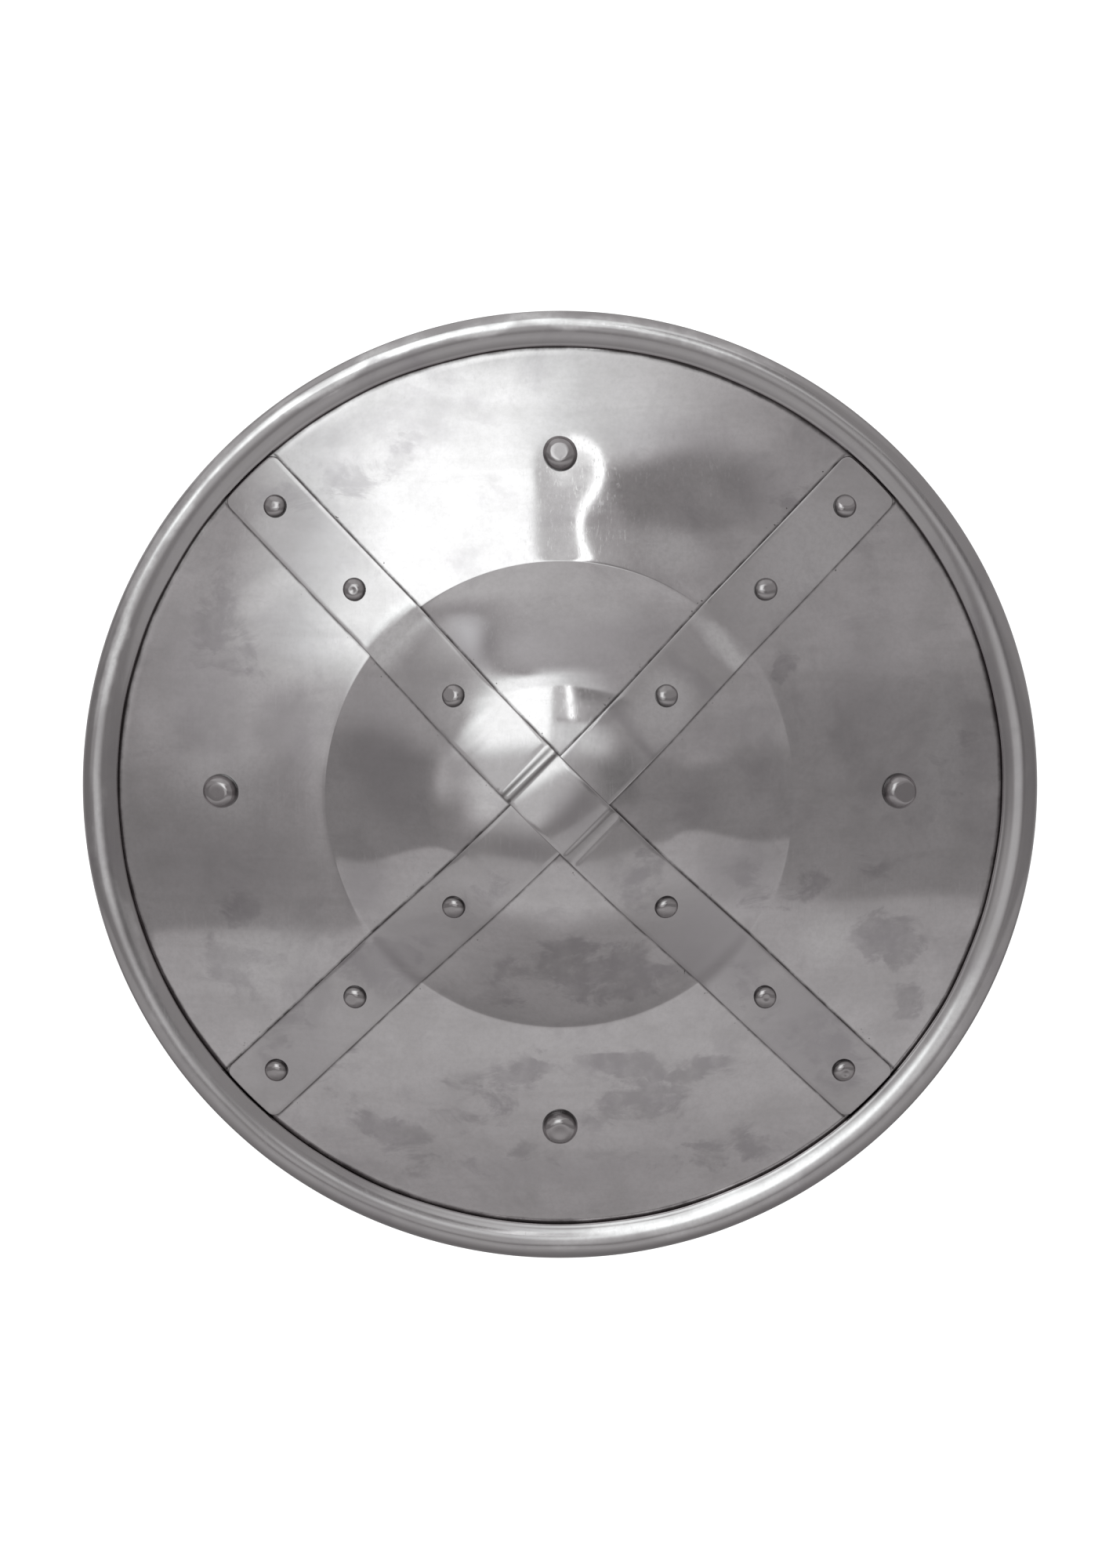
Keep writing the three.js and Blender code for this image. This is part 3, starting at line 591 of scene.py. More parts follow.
def make_band(name, turn, joggle, node):
    rows, edges = [], []
    for along, half in band_stations():
        across, depth, dirt_and_shade = band_section(half)
        past = max(abs(along) - (BAND_END - BAND_EDGE_ROUND), 0)
        sink = BAND_EDGE_ROUND - math.sqrt(max(BAND_EDGE_ROUND**2 - past**2, 0))
        place = along * (np.sqrt(BAND_END**2 - across**2) / BAND_END)
        x = place * math.cos(turn) - across * math.sin(turn)
        y = place * math.sin(turn) + across * math.cos(turn)
        on_top = depth < BAND_THICKNESS
        lift = CLEARANCE + BAND_THICKNESS + joggle * joggle_share(along) - depth - sink
        if joggle:
            lift -= crossing_sink(along) * on_top
            # painted shade in the joggle's folds
            dirt_and_shade = np.maximum(dirt_and_shade, joggle_shade(along))
        steep = 1 / face_normal(x, y, BAND_BEND_DEPTH)[:, 2]
        own = ripple(BAND_WAVES, x + RIPPLE_SHIFT * joggle, y) + band_marks(along, np.hypot(x, y))
        rows.append(np.stack([x, y, face_height(x, y, BAND_BEND_DEPTH) + lift * steep + own * on_top], -1))
        # dirt and painted shade at the band's edges and underside, and painted shade in its joggle's folds
        edges.append(dirt_and_shade)
    rows = np.array(rows)
    piece = add_object(name, rows, capped_faces(len(rows), rows.shape[1]), band_steel, edges)
    dress(piece, "shield", node)


# Rivets and washers


def dome(radius, height, flat_radius, base, steps):
    return [
        (flat_radius + (radius - flat_radius) * math.cos(angle), base + height * math.sin(angle))
        for angle in np.linspace(0, RIGHT_ANGLE, steps + 1)
    ]


def rivet_profile(head, shank_radius, tail, under, over):
    """A rivet's profile. Its head and its tail are each given as (radius, height, radius of the flat)."""
    radius, height, flat = head
    tail_radius, tail_height, tail_flat = tail
    return [
        (0.0, under - tail_height),
        (tail_flat / 2, under - tail_height),
        *reversed(dome(tail_radius, -tail_height, tail_flat, under, TAIL_STEPS)),
        (shank_radius, under),
        (shank_radius, over),
        (radius - HEAD_FOOT / 2, over),
        (radius, over + HEAD_FOOT / 2),
        *dome(radius, height - HEAD_FOOT, flat, over + HEAD_FOOT, HEAD_STEPS),
        (flat * FLAT_RING, over + height),
        (0.0, over + height),
    ]


def make_rivet(node, profile, matrix, over, head, wear, seed):
    """A rivet of a turned profile, its head uneven and worn by a filed flat or a dimple."""
    draw = random.Random(seed)
    stretch = draw.uniform(-HEAD_STRETCH, HEAD_STRETCH)
    lean = draw.uniform(0, FULL_TURN)
    angles = round_angles(RIVET_SIDES)
    rows = turned(profile, RIVET_SIDES)
    shares = (np.array([height for _, height in profile]) - over) / head[1]
    lumps = HEAD_LUMP * np.cos(LUMPS * angles + LUMP_LEAN * lean) * shares[:, None]
    uneven = stretch * np.cos(2 * (angles - lean)) + lumps
    rows[:, :, :2] *= (1 + uneven * (shares >= 0)[:, None])[:, :, None]
    lean_x, lean_y, dimple, flat = wear
    above = rows[:, :, 2] > over
    if flat > 0:
        normal = np.array([lean_x, lean_y, 1.0])
        normal /= np.linalg.norm(normal)
        limit = (over + head[1]) * normal[2] - flat
        excess = np.maximum(rows @ normal - limit, 0) * above
        rows -= excess[:, :, None] * normal
    if dimple > 0:
        away = np.hypot(rows[:, :, 0] - lean_x, rows[:, :, 1] - lean_y) / (head[0] * DIMPLE_REACH)
        rows[:, :, 2] -= above * dimple * np.clip(1 - away**2, 0, 1) ** 2
    # painted shade at the head's foot, which the material reads as its edge mark
    foot = np.repeat(np.clip((FOOT_SHADE - np.abs(shares)) / FOOT_FADE, 0, 1), RIVET_SIDES)
    faces = grid_faces(len(rows), RIVET_SIDES)
    piece = add_object(f"{node}_finished", transform(rows, matrix), faces, rivet_steel, foot)
    dress(piece, "shield", node)


def make_rivets():
    head = (BAND_HEAD_RADIUS, BAND_HEAD_HEIGHT, BAND_FLAT_RADIUS)
    tail = (BAND_TAIL_RADIUS, BAND_TAIL_HEIGHT, BAND_SHANK_RADIUS)
    gap = CLEARANCE / 3
    over = CLEARANCE + BAND_THICKNESS + gap
    profile = rivet_profile(head, BAND_SHANK_RADIUS, tail, -PLATE_THICKNESS - gap, over)
    for quarter, arm in enumerate(ARM_NAMES):
        for radius, place in zip(BAND_RIVET_RADII, PLACE_NAMES):
            name = f"{arm}_{place}"
            matrix = seat(radius, (quarter + 0.5) * RIGHT_ANGLE)
            wear = BAND_WEAR.get(name, PLAIN_WEAR)
            make_rivet(f"band_rivet_{name}", profile, matrix, over, head, wear, len(name) + quarter)
    head = (STRAP_HEAD_RADIUS, STRAP_HEAD_HEIGHT, STRAP_FLAT_RADIUS)
    tail = (STRAP_TAIL_RADIUS, STRAP_TAIL_HEIGHT, STRAP_SHANK_RADIUS)
    profile = rivet_profile(head, STRAP_SHANK_RADIUS, tail, WASHER_TOP - WASHER_THICKNESS - gap, gap)
    for quarter, name in enumerate(QUARTER_NAMES):
        matrix = seat(STRAP_RIVET_PLACE, quarter * RIGHT_ANGLE)
        make_rivet(f"strap_rivet_{name}", profile, matrix, gap, head, STRAP_WEAR[name], quarter)
        make_washer(f"strap_washer_{name}", matrix)


def make_washer(node, matrix):
    bore = STRAP_SHANK_RADIUS + CLEARANCE
    low = WASHER_TOP - WASHER_THICKNESS
    profile = [
        (bore, low + EDGE_SOFT),
        (bore + EDGE_SOFT, low),
        (WASHER_RADIUS - 2 * EDGE_SOFT, low),
        (WASHER_RADIUS - EDGE_SOFT / 2, low + EDGE_SOFT / 2),
        (WASHER_RADIUS, low + 2 * EDGE_SOFT),
        (WASHER_RADIUS, WASHER_TOP),
        (bore, WASHER_TOP),
    ]
    rows = transform(turned(profile, RIVET_SIDES), matrix)
    faces = grid_faces(len(rows), RIVET_SIDES, wrap_rows=True)
    piece = add_object(f"{node}_finished", rows, faces, washer_steel)
    dress(piece, "shield", node)


# Straps. Each lies in a plane through the centre of the dish's sphere and two of the large rivets. In that
# plane, x runs along the strap's chord and y towards the face, with the sphere's centre as origin.

CHORD_HALF = STRAP_RIVET_PLACE * math.sin(RIGHT_ANGLE / 2)
STRAP_TILT = math.atan(CHORD_HALF / math.sqrt(DISH_RADIUS**2 - STRAP_RIVET_PLACE**2))
RIVET_SPREAD = math.asin(CHORD_HALF / DISH_RADIUS)
TAB_RADIUS = DISH_BACK_RADIUS - TAB_GAP - LEATHER / 2


def basis_matrix(first, second, origin):
    matrix = Matrix((first, second, first.cross(second))).transposed().to_4x4()
    matrix.translation = origin
    return matrix


def strap_plane(direction):
    """The matrix of the plane of a strap whose chord lies across a direction of the face."""
    chord = Vector((-math.sin(direction), math.cos(direction), 0))
    outward = Vector((
        math.cos(direction) * math.sin(STRAP_TILT),
        math.sin(direction) * math.sin(STRAP_TILT),
        math.cos(STRAP_TILT),
    ))
    return basis_matrix(chord, outward, Vector((0, 0, DISH_CENTRE)))


def trace_path(start, heading, steps):
    """Marks (x, y, heading) along runs and bends, STRAP_STEP apart or closer."""
    marks = [(start[0], start[1], heading)]
    for kind, *size in steps:
        x, y, heading = marks[-1]
        if kind == "run":
            length = size[0]
            parts = max(1, round(abs(length) / STRAP_STEP))
            for reach in np.linspace(0, length, parts + 1)[1:]:
                marks.append((x + reach * math.cos(heading), y + reach * math.sin(heading), heading))
            continue
        angle, radius = size
        side = math.copysign(radius, angle)
        centre_x, centre_y = x - side * math.sin(heading), y + side * math.cos(heading)
        parts = max(BEND_PARTS, round(abs(angle) * radius / STRAP_STEP), round(abs(angle) / BEND_PART))
        for turn in np.linspace(heading, heading + angle, parts + 1)[1:]:
            marks.append((centre_x + side * math.sin(turn), centre_y - side * math.cos(turn), turn))
    return marks


def mirror_marks(marks):
    return [(-x, y, -heading) for x, y, heading in reversed(marks)]


def solve_arch(room, foot_radius, flank_angle):
    """Half of an arch that rises by room off the plate: foot angle, crown radius and flank length."""
    foot_angle = RIVET_SPREAD - TAB_REACH / TAB_RADIUS
    top = DISH_BACK_RADIUS - room - LEATHER / 2
    sine, cosine = math.sin(flank_angle), math.cos(flank_angle)
    across = TAB_RADIUS * math.sin(foot_angle) - foot_radius * (sine + math.sin(foot_angle))
    rise = TAB_RADIUS * math.cos(foot_angle) - top - foot_radius * (math.cos(foot_angle) - cosine)
    crown_radius = (across * sine - rise * cosine) / (1 - cosine)
    return foot_angle, crown_radius, (across - crown_radius * sine) / cosine


def strap_foot(foot_angle, flank_angle, foot_radius, tab_end):
    """The start, heading and first steps of a strap that leaves the plate at a rivet."""
    angle = RIVET_SPREAD + tab_end / TAB_RADIUS
    start = (-TAB_RADIUS * math.sin(angle), TAB_RADIUS * math.cos(angle))
    steps = [
        ("bend", -(TAB_REACH + tab_end) / TAB_RADIUS, TAB_RADIUS),
        ("bend", -(flank_angle + foot_angle), foot_radius),
    ]
    return start, angle, steps


def distances(marks):
    places = np.array([(x, y) for x, y, _ in marks])
    return np.concatenate([[0], np.cumsum(np.hypot(*np.diff(places, axis=0).T))])


def off_path(mark, across, outward):
    """The point in a strap's plane axes across and off its middle at a mark."""
    x, y, heading = mark
    return (x - outward * math.sin(heading), y + outward * math.cos(heading), across)


def mark_at(marks, lengths, distance):
    i = int(np.clip(np.searchsorted(lengths, distance) - 1, 0, len(marks) - 2))
    share = (distance - lengths[i]) / (lengths[i + 1] - lengths[i])
    return [a + (b - a) * share for a, b in zip(marks[i], marks[i + 1])]


def strip_loop(half, thickness, groove_side):
    """A strap's section: (across, outward, edge) round the leather, with creased lines near its edges."""
    rounding = min(STRIP_ROUND, half * ROUND_WIDTH_SHARE, thickness / 2 * ROUND_THICKNESS_SHARE)
    flat, corner = half - rounding, thickness / 2 - rounding
    line = half - GROOVE_INSET
    columns = set(np.linspace(-flat, flat, STRIP_CELLS + 1))
    if line > GROOVE_INSET:
        for side in (-line, line):
            columns |= {side + offset for offset in np.linspace(-GROOVE_HALF, GROOVE_HALF, GROOVE_STEPS + 1)}
    columns = sorted(columns)

    def surface(across, side):
        height = thickness / 2
        if side == groove_side and line > GROOVE_INSET:
            height -= GROOVE_DEPTH * max(0.0, 1 - ((abs(across) - line) / GROOVE_HALF) ** 2) ** 2
        return (across, side * height, max(0.0, 1 - (half - abs(across)) / GROOVE_INSET))

    def rounded(quarter, across, outward):
        angles = np.linspace(quarter, quarter + 1, STRIP_ROUND_STEPS + 1) * RIGHT_ANGLE
        kept = angles[:-1] if quarter % 2 else angles[1:]
        return [(across + rounding * math.sin(a), outward + rounding * math.cos(a), 1.0) for a in kept]

    top = [surface(across, 1) for across in columns]
    bottom = [surface(across, -1) for across in reversed(columns)]
    right = [*rounded(0, flat, corner), *rounded(1, flat, -corner)]
    left = [*rounded(2, -flat, -corner), *rounded(3, -flat, corner)]
    return [*top, *right, *bottom, *left]


def make_strip(node, marks, half_width, plane, cutter=None):
    """A leather strip along marks. half_width gives its half width from the distances to its ends."""
    lengths = distances(marks)
    total = lengths[-1]
    rows, edges = [], []
    full_half = max(half_width(distance, total - distance) for distance in lengths)
    section = strip_loop(full_half, LEATHER, -1)
    for mark, distance in zip(marks, lengths):
        narrow = half_width(distance, total - distance) / full_half
        near_end = 1 - min(distance, total - distance) / GROOVE_INSET
        rows.append([off_path(mark, across * narrow, outward) for across, outward, _ in section])
        edges += [max(edge, near_end) for _, _, edge in section]
    rows = transform(np.array(rows), plane)
    piece = add_object(f"{node}_finished", rows, capped_faces(len(rows), len(section)), strap_leather, edges)
    if cutter is not None:
        cut_away(piece, cutter)
    dress(piece, "shield", node)


def cut_away(piece, cutter):
    """The cutter is taken out of the piece and deleted."""
    change = piece.modifiers.new("cut", "BOOLEAN")
    change.operation = "DIFFERENCE"
    change.solver = "EXACT"
    change.object = cutter
    graph = bpy.context.evaluated_depsgraph_get()
    mesh = bpy.data.meshes.new_from_object(piece.evaluated_get(graph))
    piece.modifiers.remove(change)
    piece.data = mesh
    bpy.data.objects.remove(cutter)


def rounded_width(half, distance):
    """The half width of a strap with a round end about a rivet, at a distance from the end."""
    if distance >= half:
        return half
    return math.sqrt(max(half**2 - (half - distance) ** 2, (half * END_SHARE) ** 2))


def refine_start(marks, half):
    """More marks in the first part of a strap, where its end is round."""
    lengths = distances(marks)
    wanted = half * (1 - np.cos(np.linspace(END_START, RIGHT_ANGLE, END_STEPS + 1)))
    extra = np.stack([np.interp(wanted, lengths, part) for part in np.array(marks).T], -1)
    kept = [mark for mark, length in zip(marks, lengths) if length > half + STRAP_STEP / 2]
    return [*map(tuple, extra), *kept]


def refine_end(marks, half):
    return refine_start(marks[::-1], half)[::-1]


def make_grip_strap():
    half = GRIP_WIDTH / 2
    foot_angle, crown_radius, flank = solve_arch(GRIP_ROOM, GRIP_FOOT_RADIUS, GRIP_FLANK)
    start, heading, foot = strap_foot(foot_angle, GRIP_FLANK, GRIP_FOOT_RADIUS, half)
    side = trace_path(start, heading, [*foot, ("run", flank), ("bend", GRIP_FLANK, crown_radius)])
    marks = refine_end(refine_start([*side, *mirror_marks(side)[1:]], half), half)
    plane = strap_plane(3 * RIGHT_ANGLE / 2)

    def half_width(before, after):
        return min(rounded_width(half, before), rounded_width(half, after))

    make_strip("grip_strap", marks, half_width, plane)
    stitch_rows("grip_stitches", marks, half, -1, (GRIP_WIDTH, distances(marks)[-1] - GRIP_WIDTH), plane)


# The forearm strap's layers round the buckle
LAYER_PITCH = LEATHER + CLEARANCE
FOLD_RADIUS = BAR_RADIUS + CLEARANCE + LEATHER / 2
OVER_FOLD_RADIUS = FOLD_RADIUS + LAYER_PITCH
FOLD_DROP = FOLD_RADIUS * (1 + math.cos(FOLD_ANGLE)) - FOLD_BEND_RADIUS * (1 - math.cos(FOLD_ANGLE))
FOLD_RUN = (FOLD_DROP - LAYER_PITCH) / math.sin(FOLD_ANGLE)
FOLD_END = (FOLD_RADIUS + FOLD_BEND_RADIUS) * math.sin(FOLD_ANGLE) + FOLD_RUN * math.cos(FOLD_ANGLE)
RAMP_CLIMB = (
    FOLD_RADIUS + OVER_FOLD_RADIUS * math.cos(RAMP_ANGLE) - RAMP_BEND_RADIUS * (1 - math.cos(RAMP_ANGLE))
)
RAMP_RUN = RAMP_CLIMB / math.sin(RAMP_ANGLE)
RAMP_START = (OVER_FOLD_RADIUS + RAMP_BEND_RADIUS) * math.sin(RAMP_ANGLE) + RAMP_RUN * math.cos(RAMP_ANGLE)
TONGUE_REST = math.asin((BAR_RADIUS + CLEARANCE + TONGUE_RADIUS) / BUCKLE_LENGTH)
ARM_FOOT_ANGLE, ARM_CROWN_RADIUS, ARM_FLANK_LENGTH = solve_arch(ARM_ROOM, ARM_FOOT_RADIUS, ARM_FLANK)
ARM_START, ARM_HEADING, ARM_FOOT = strap_foot(ARM_FOOT_ANGLE, ARM_FLANK, ARM_FOOT_RADIUS, ARM_HALF)
ARM_PLANE = strap_plane(-RIGHT_ANGLE / 2)


def buckle_matrix():
    """From buckle axes, with x to the crown, y away from the arm and the heel bar on z, to face axes."""
    x, y, heading = trace_path(ARM_START, ARM_HEADING, [*ARM_FOOT, ("run", HEEL_HEIGHT)])[-1]
    along = Vector((math.cos(heading), math.sin(heading), 0))
    outward = Vector((along.y, -along.x, 0))
    return ARM_PLANE @ basis_matrix(along, outward, Vector((x, y, 0)) + outward * FOLD_RADIUS)


BUCKLE = buckle_matrix()


def make_prism(outline, depth, matrix):
    """A cutter between two depths along y, from an outline in the xz plane."""
    rows = np.array([[(x, y, z) for x, z in outline] for y in depth])
    return add_object("cutter", transform(rows, matrix), capped_faces(2, len(outline)), strap_leather)


def make_buckle_end():
    marks = trace_path(ARM_START, ARM_HEADING, [
        *ARM_FOOT,
        ("run", HEEL_HEIGHT),
        ("bend", -(math.pi + FOLD_ANGLE), FOLD_RADIUS),
        ("run", FOLD_RUN),
        ("bend", FOLD_ANGLE, FOLD_BEND_RADIUS),
        ("run", FOLD_TAIL),
    ])
    marks = refine_start(marks, ARM_HALF)

    def half_width(before, after):
        past = max(FOLD_CORNER - after, 0)
        tail = ARM_HALF - FOLD_CORNER + math.sqrt(FOLD_CORNER**2 - past**2)
        return min(rounded_width(ARM_HALF, before), tail)

    reach = FOLD_RADIUS + LEATHER / 2 + CLEARANCE
    ring_reach = BAR_RADIUS + 2 * CLEARANCE + TONGUE_RING_WALL
    half = TONGUE_RING_WIDTH / 2 + CLEARANCE
    outline = [(-ring_reach, -half), (reach, -half), (reach, half), (-ring_reach, half)]
    cutter = make_prism(outline, (-reach, reach), BUCKLE)
    make_strip("arm_strap_buckle_end", marks, half_width, ARM_PLANE, cutter=cutter)
    total = distances(marks)[-1]
    stitch_rows("fold_stitches", marks, ARM_HALF, 1, (total - FOLD_TAIL, total - STITCH_INSET), ARM_PLANE)


def make_tongue_slot():
    """A prism with round ends, as long as the tongue's path through the billet."""
    def place_and_reach(turn):
        lean = RAMP_ANGLE + TONGUE_REST + turn
        reach = (TONGUE_RADIUS + LEATHER / 2 * math.cos(lean)) / math.sin(lean) + CLEARANCE
        return OVER_FOLD_RADIUS / math.tan(lean), reach

    half = TONGUE_RADIUS + CLEARANCE
    near, near_reach = place_and_reach(BUCKLE_SWING + TONGUE_SWING)
    far, far_reach = place_and_reach(0)
    outline = arc((far + far_reach - half, 0), half, -RIGHT_ANGLE, RIGHT_ANGLE, SLOT_STEPS)
    outline += arc((near - near_reach + half, 0), half, RIGHT_ANGLE, 3 * RIGHT_ANGLE, SLOT_STEPS)
    lift = Matrix.Rotation(-RAMP_ANGLE, 4, "Z") @ Matrix.Translation((0, OVER_FOLD_RADIUS, 0))
    return make_prism(outline, (-LEATHER, LEATHER), BUCKLE @ lift)


def make_billet():
    marks = mirror_marks(trace_path(ARM_START, ARM_HEADING, [
        *ARM_FOOT,
        ("run", ARM_FLANK_LENGTH),
        ("bend", 2 * ARM_FLANK, ARM_CROWN_RADIUS),
        ("run", ARM_FLANK_LENGTH - HEEL_HEIGHT - RAMP_START),
        ("bend", -RAMP_ANGLE, RAMP_BEND_RADIUS),
        ("run", RAMP_RUN),
        ("bend", RAMP_ANGLE + FOLD_ANGLE, OVER_FOLD_RADIUS),
        ("run", FOLD_RUN),
        ("bend", -FOLD_ANGLE, FOLD_BEND_RADIUS - LAYER_PITCH),
        ("run", BILLET_TIP - FOLD_END),
    ]))

    def half_width(before, after):
        share = min(before / TIP_LENGTH, 1)
        tip = ARM_HALF * max(TIP_SHARE, 1 - (1 - share) ** TIP_POWER)
        return min(tip, rounded_width(ARM_HALF, after))

    marks = refine_end(marks, ARM_HALF)
    make_strip("arm_strap_billet", marks, half_width, ARM_PLANE, cutter=make_tongue_slot())


# Stitches


def stitch_rows(name, marks, half, side, ends, plane):
    """Two rows of waxed thread along a strap, on a side of it: short bulging stitches, sunk at their ends."""
    lengths = distances(marks)
    start, end = ends
    count = int((end - start) / STITCH_PITCH)
    spare = (end - start - count * STITCH_PITCH) / 2
    cross = np.array([0.0, 0.0, 1.0])
    for which, across in (("near", STITCH_INSET - half), ("far", half - STITCH_INSET)):
        points, faces = [], []
        for i in range(count):
            middle = start + spare + (i + 0.5) * STITCH_PITCH
            faces += shifted_faces(capped_faces(STITCH_STEPS + 1, THREAD_SIDES), len(points))
            for share in np.linspace(-1, 1, STITCH_STEPS + 1):
                mark = mark_at(marks, lengths, middle + share * STITCH_LENGTH / 2)
                out = np.array(off_path(mark, 0.0, side)) - off_path(mark, 0.0, 0.0)
                centre = off_path(mark, across, side * LEATHER / 2) - out * THREAD_RADIUS * share**2
                thick = THREAD_RADIUS * math.sqrt(max(1 - share**4, THREAD_END))
                points += [
                    centre + thick * (math.cos(a) * cross + math.sin(a) * out)
                    for a in round_angles(THREAD_SIDES)
                ]
        piece = add_object(f"{name}_{which}", transform(points, plane), faces, thread)
        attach(piece, "shield")


# Buckle and keeper


def loop_path(low, high, radius, steps):
    """A rounded rectangle in a plane, as (first, second, heading) marks, anticlockwise."""
    marks = []
    corners = [
        (high[0] - radius, low[1] + radius),
        (high[0] - radius, high[1] - radius),
        (low[0] + radius, high[1] - radius),
        (low[0] + radius, low[1] + radius),
    ]
    for quarter, (first, second) in enumerate(corners):
        for angle in np.linspace(quarter - 1, quarter, steps + 1) * RIGHT_ANGLE:
            marks.append((first + radius * math.cos(angle), second + radius * math.sin(angle), angle))
    return marks


def make_buckle_frame():
    half = ARM_HALF + BUCKLE_SIDE_GAP + BAR_RADIUS
    up = np.array([0.0, 1.0, 0.0])
    rows = []
    for x, z, angle in loop_path((0.0, -half), (BUCKLE_LENGTH, half), half - ARM_HALF, FRAME_CORNER_STEPS):
        out = np.array([math.cos(angle), 0.0, math.sin(angle)])
        rows.append([
            np.array([x, 0.0, z]) + BAR_RADIUS * (math.cos(a) * out + math.sin(a) * up)
            for a in round_angles(FRAME_SIDES)
        ])
    faces = grid_faces(len(rows), FRAME_SIDES, wrap_rows=True)
    piece = add_object("buckle_frame_finished", transform(rows, BUCKLE), faces, brass)
    dress(piece, "buckle", "buckle_frame")


def make_tongue():
    bore = BAR_RADIUS + CLEARANCE / 2
    wall = TONGUE_RING_WALL
    half = TONGUE_RING_WIDTH / 2
    soft = wall / 3
    side = [(bore + soft, half), (bore + wall - soft, half), (bore + wall, half - soft)]
    profile = [
        (bore, -half + soft), *((radius, -height) for radius, height in side),
        *reversed(side), (bore, half - soft),
    ]
    ring = turned(profile, TONGUE_RING_SIDES)
    ring_faces = grid_faces(len(ring), TONGUE_RING_SIDES, wrap_rows=True)
    shaft_profile = [
        (0.0, bore + wall / 2),
        (TONGUE_RADIUS * SHAFT_ROOT, bore + wall / 2),
        (TONGUE_RADIUS * SHAFT_NECK, bore + wall * 2),
        (TONGUE_RADIUS, BUCKLE_LENGTH / 2),
    ]
    tip = BUCKLE_LENGTH + TONGUE_OVERHANG - TONGUE_RADIUS
    shaft_profile += arc((0.0, tip), TONGUE_RADIUS, 0, RIGHT_ANGLE, TONGUE_TIP_STEPS)
    lean = Matrix.Rotation(TONGUE_REST, 4, "Z") @ Matrix.Rotation(RIGHT_ANGLE, 4, "Y")
    shaft = transform(turned(shaft_profile, TONGUE_SIDES), lean)
    points = np.concatenate([ring.reshape(-1, 3), shaft.reshape(-1, 3)])
    shaft_faces = shifted_faces(grid_faces(len(shaft), TONGUE_SIDES), len(ring) * TONGUE_RING_SIDES)
    piece = add_object("buckle_tongue_finished", transform(points, BUCKLE), ring_faces + shaft_faces, brass)
    dress(piece, "tongue", "buckle_tongue")


def make_keeper():
    low = -FOLD_RADIUS - LEATHER / 2 - CLEARANCE - KEEPER_THICKNESS / 2
    high = low + 3 * LAYER_PITCH + CLEARANCE + KEEPER_THICKNESS
    half = ARM_HALF + CLEARANCE + KEEPER_THICKNESS / 2
    middle = -KEEPER_PLACE - KEEPER_WIDTH / 2
    section = strip_loop(KEEPER_WIDTH / 2, KEEPER_THICKNESS, 0)
    rows, edges = [], []
    for y, z, angle in loop_path((low, -half), (high, half), KEEPER_THICKNESS, KEEPER_CORNER_STEPS):
        out = np.array([0.0, math.cos(angle), math.sin(angle)])
        rows.append([np.array([middle + across, y, z]) + outward * out for across, outward, _ in section])
        edges += [edge for _, _, edge in section]
    faces = grid_faces(len(rows), len(section), wrap_rows=True)
    piece = add_object("keeper_loop_finished", transform(rows, BUCKLE), faces, strap_leather, edges)
    dress(piece, "shield", "keeper_loop")


# Materials. A noise is its scale, detail and roughness. A ramp goes smoothly from one value to another, and
# after them come its results there where these aren't 0 and 1.


class Nodes:
    """A short way to write the nodes of a material or of the world."""

    def __init__(self, owner):
        owner.use_nodes = True
        self.owner = owner
        self.tree = owner.node_tree
        self.shader = self.tree.nodes.get("Principled BSDF")

    @cached_property
    def place(self):
        return self.add("ShaderNodeTexCoord").outputs["Object"]

    def add(self, kind, **settings):
        node = self.tree.nodes.new(kind)
        for key, value in settings.items():
            setattr(node, key, value)
        return node

    def link(self, source, target):
        if isinstance(source, bpy.types.NodeSocket):
            self.tree.links.new(source, target)
        else:
            target.default_value = source

    def shade(self, name, source):
        self.link(source, self.shader.inputs[name])

    def scaled(self, scale, turn=(0, 0, 0)):
        node = self.add("ShaderNodeMapping")
        node.inputs["Scale"].default_value = scale
        node.inputs["Rotation"].default_value = turn
        self.link(self.place, node.inputs["Vector"])
        return node.outputs["Vector"]

    def noise(self, kind, vector=None, distortion=0.0, finer=0.0, output="Fac"):
        scale, detail, roughness = kind
        node = self.add("ShaderNodeTexNoise")
        node.inputs["Scale"].default_value = scale + finer
        node.inputs["Detail"].default_value = detail
        node.inputs["Roughness"].default_value = roughness
        node.inputs["Distortion"].default_value = distortion
        self.link(vector or self.place, node.inputs["Vector"])
        return node.outputs[output]

    def ramp(self, value, low, high, start=0.0, end=1.0, kind="SMOOTHSTEP"):
        node = self.add("ShaderNodeMapRange", interpolation_type=kind)
        self.link(value, node.inputs["Value"])
        for socket, number in zip(("From Min", "From Max", "To Min", "To Max"), (low, high, start, end)):
            node.inputs[socket].default_value = number
        return node.outputs["Result"]

    def math(self, operation, first, second=0.0):
        node = self.add("ShaderNodeMath", operation=operation)
        self.link(first, node.inputs[0])
        self.link(second, node.inputs[1])
        return node.outputs["Value"]

    def vector(self, operation, *inputs, output="Vector"):
        node = self.add("ShaderNodeVectorMath", operation=operation)
        for source, target in zip(inputs, node.inputs):
            self.link(source, target)
        return node.outputs[output]

    def most(self, values):
        total = values[0]
        for value in values[1:]:
            total = self.math("MAXIMUM", total, value)
        return total

    def mix(self, share, first, second):
        node = self.add("ShaderNodeMix", data_type="RGBA")
        self.link(share, node.inputs["Factor"])
        self.link(first, node.inputs["A"])
        self.link(second, node.inputs["B"])
        return node.outputs["Result"]

    def attribute(self, name):
        return self.add("ShaderNodeAttribute", attribute_name=name).outputs["Fac"]

    def bump(self, height, distance, strength=1.0):
        node = self.add("ShaderNodeBump")
        node.inputs["Strength"].default_value = strength
        node.inputs["Distance"].default_value = distance * MM
        self.link(height, node.inputs["Height"])
        self.shade("Normal", node.outputs["Normal"])


def colour(red, green, blue):
    return (red, green, blue, 1.0)
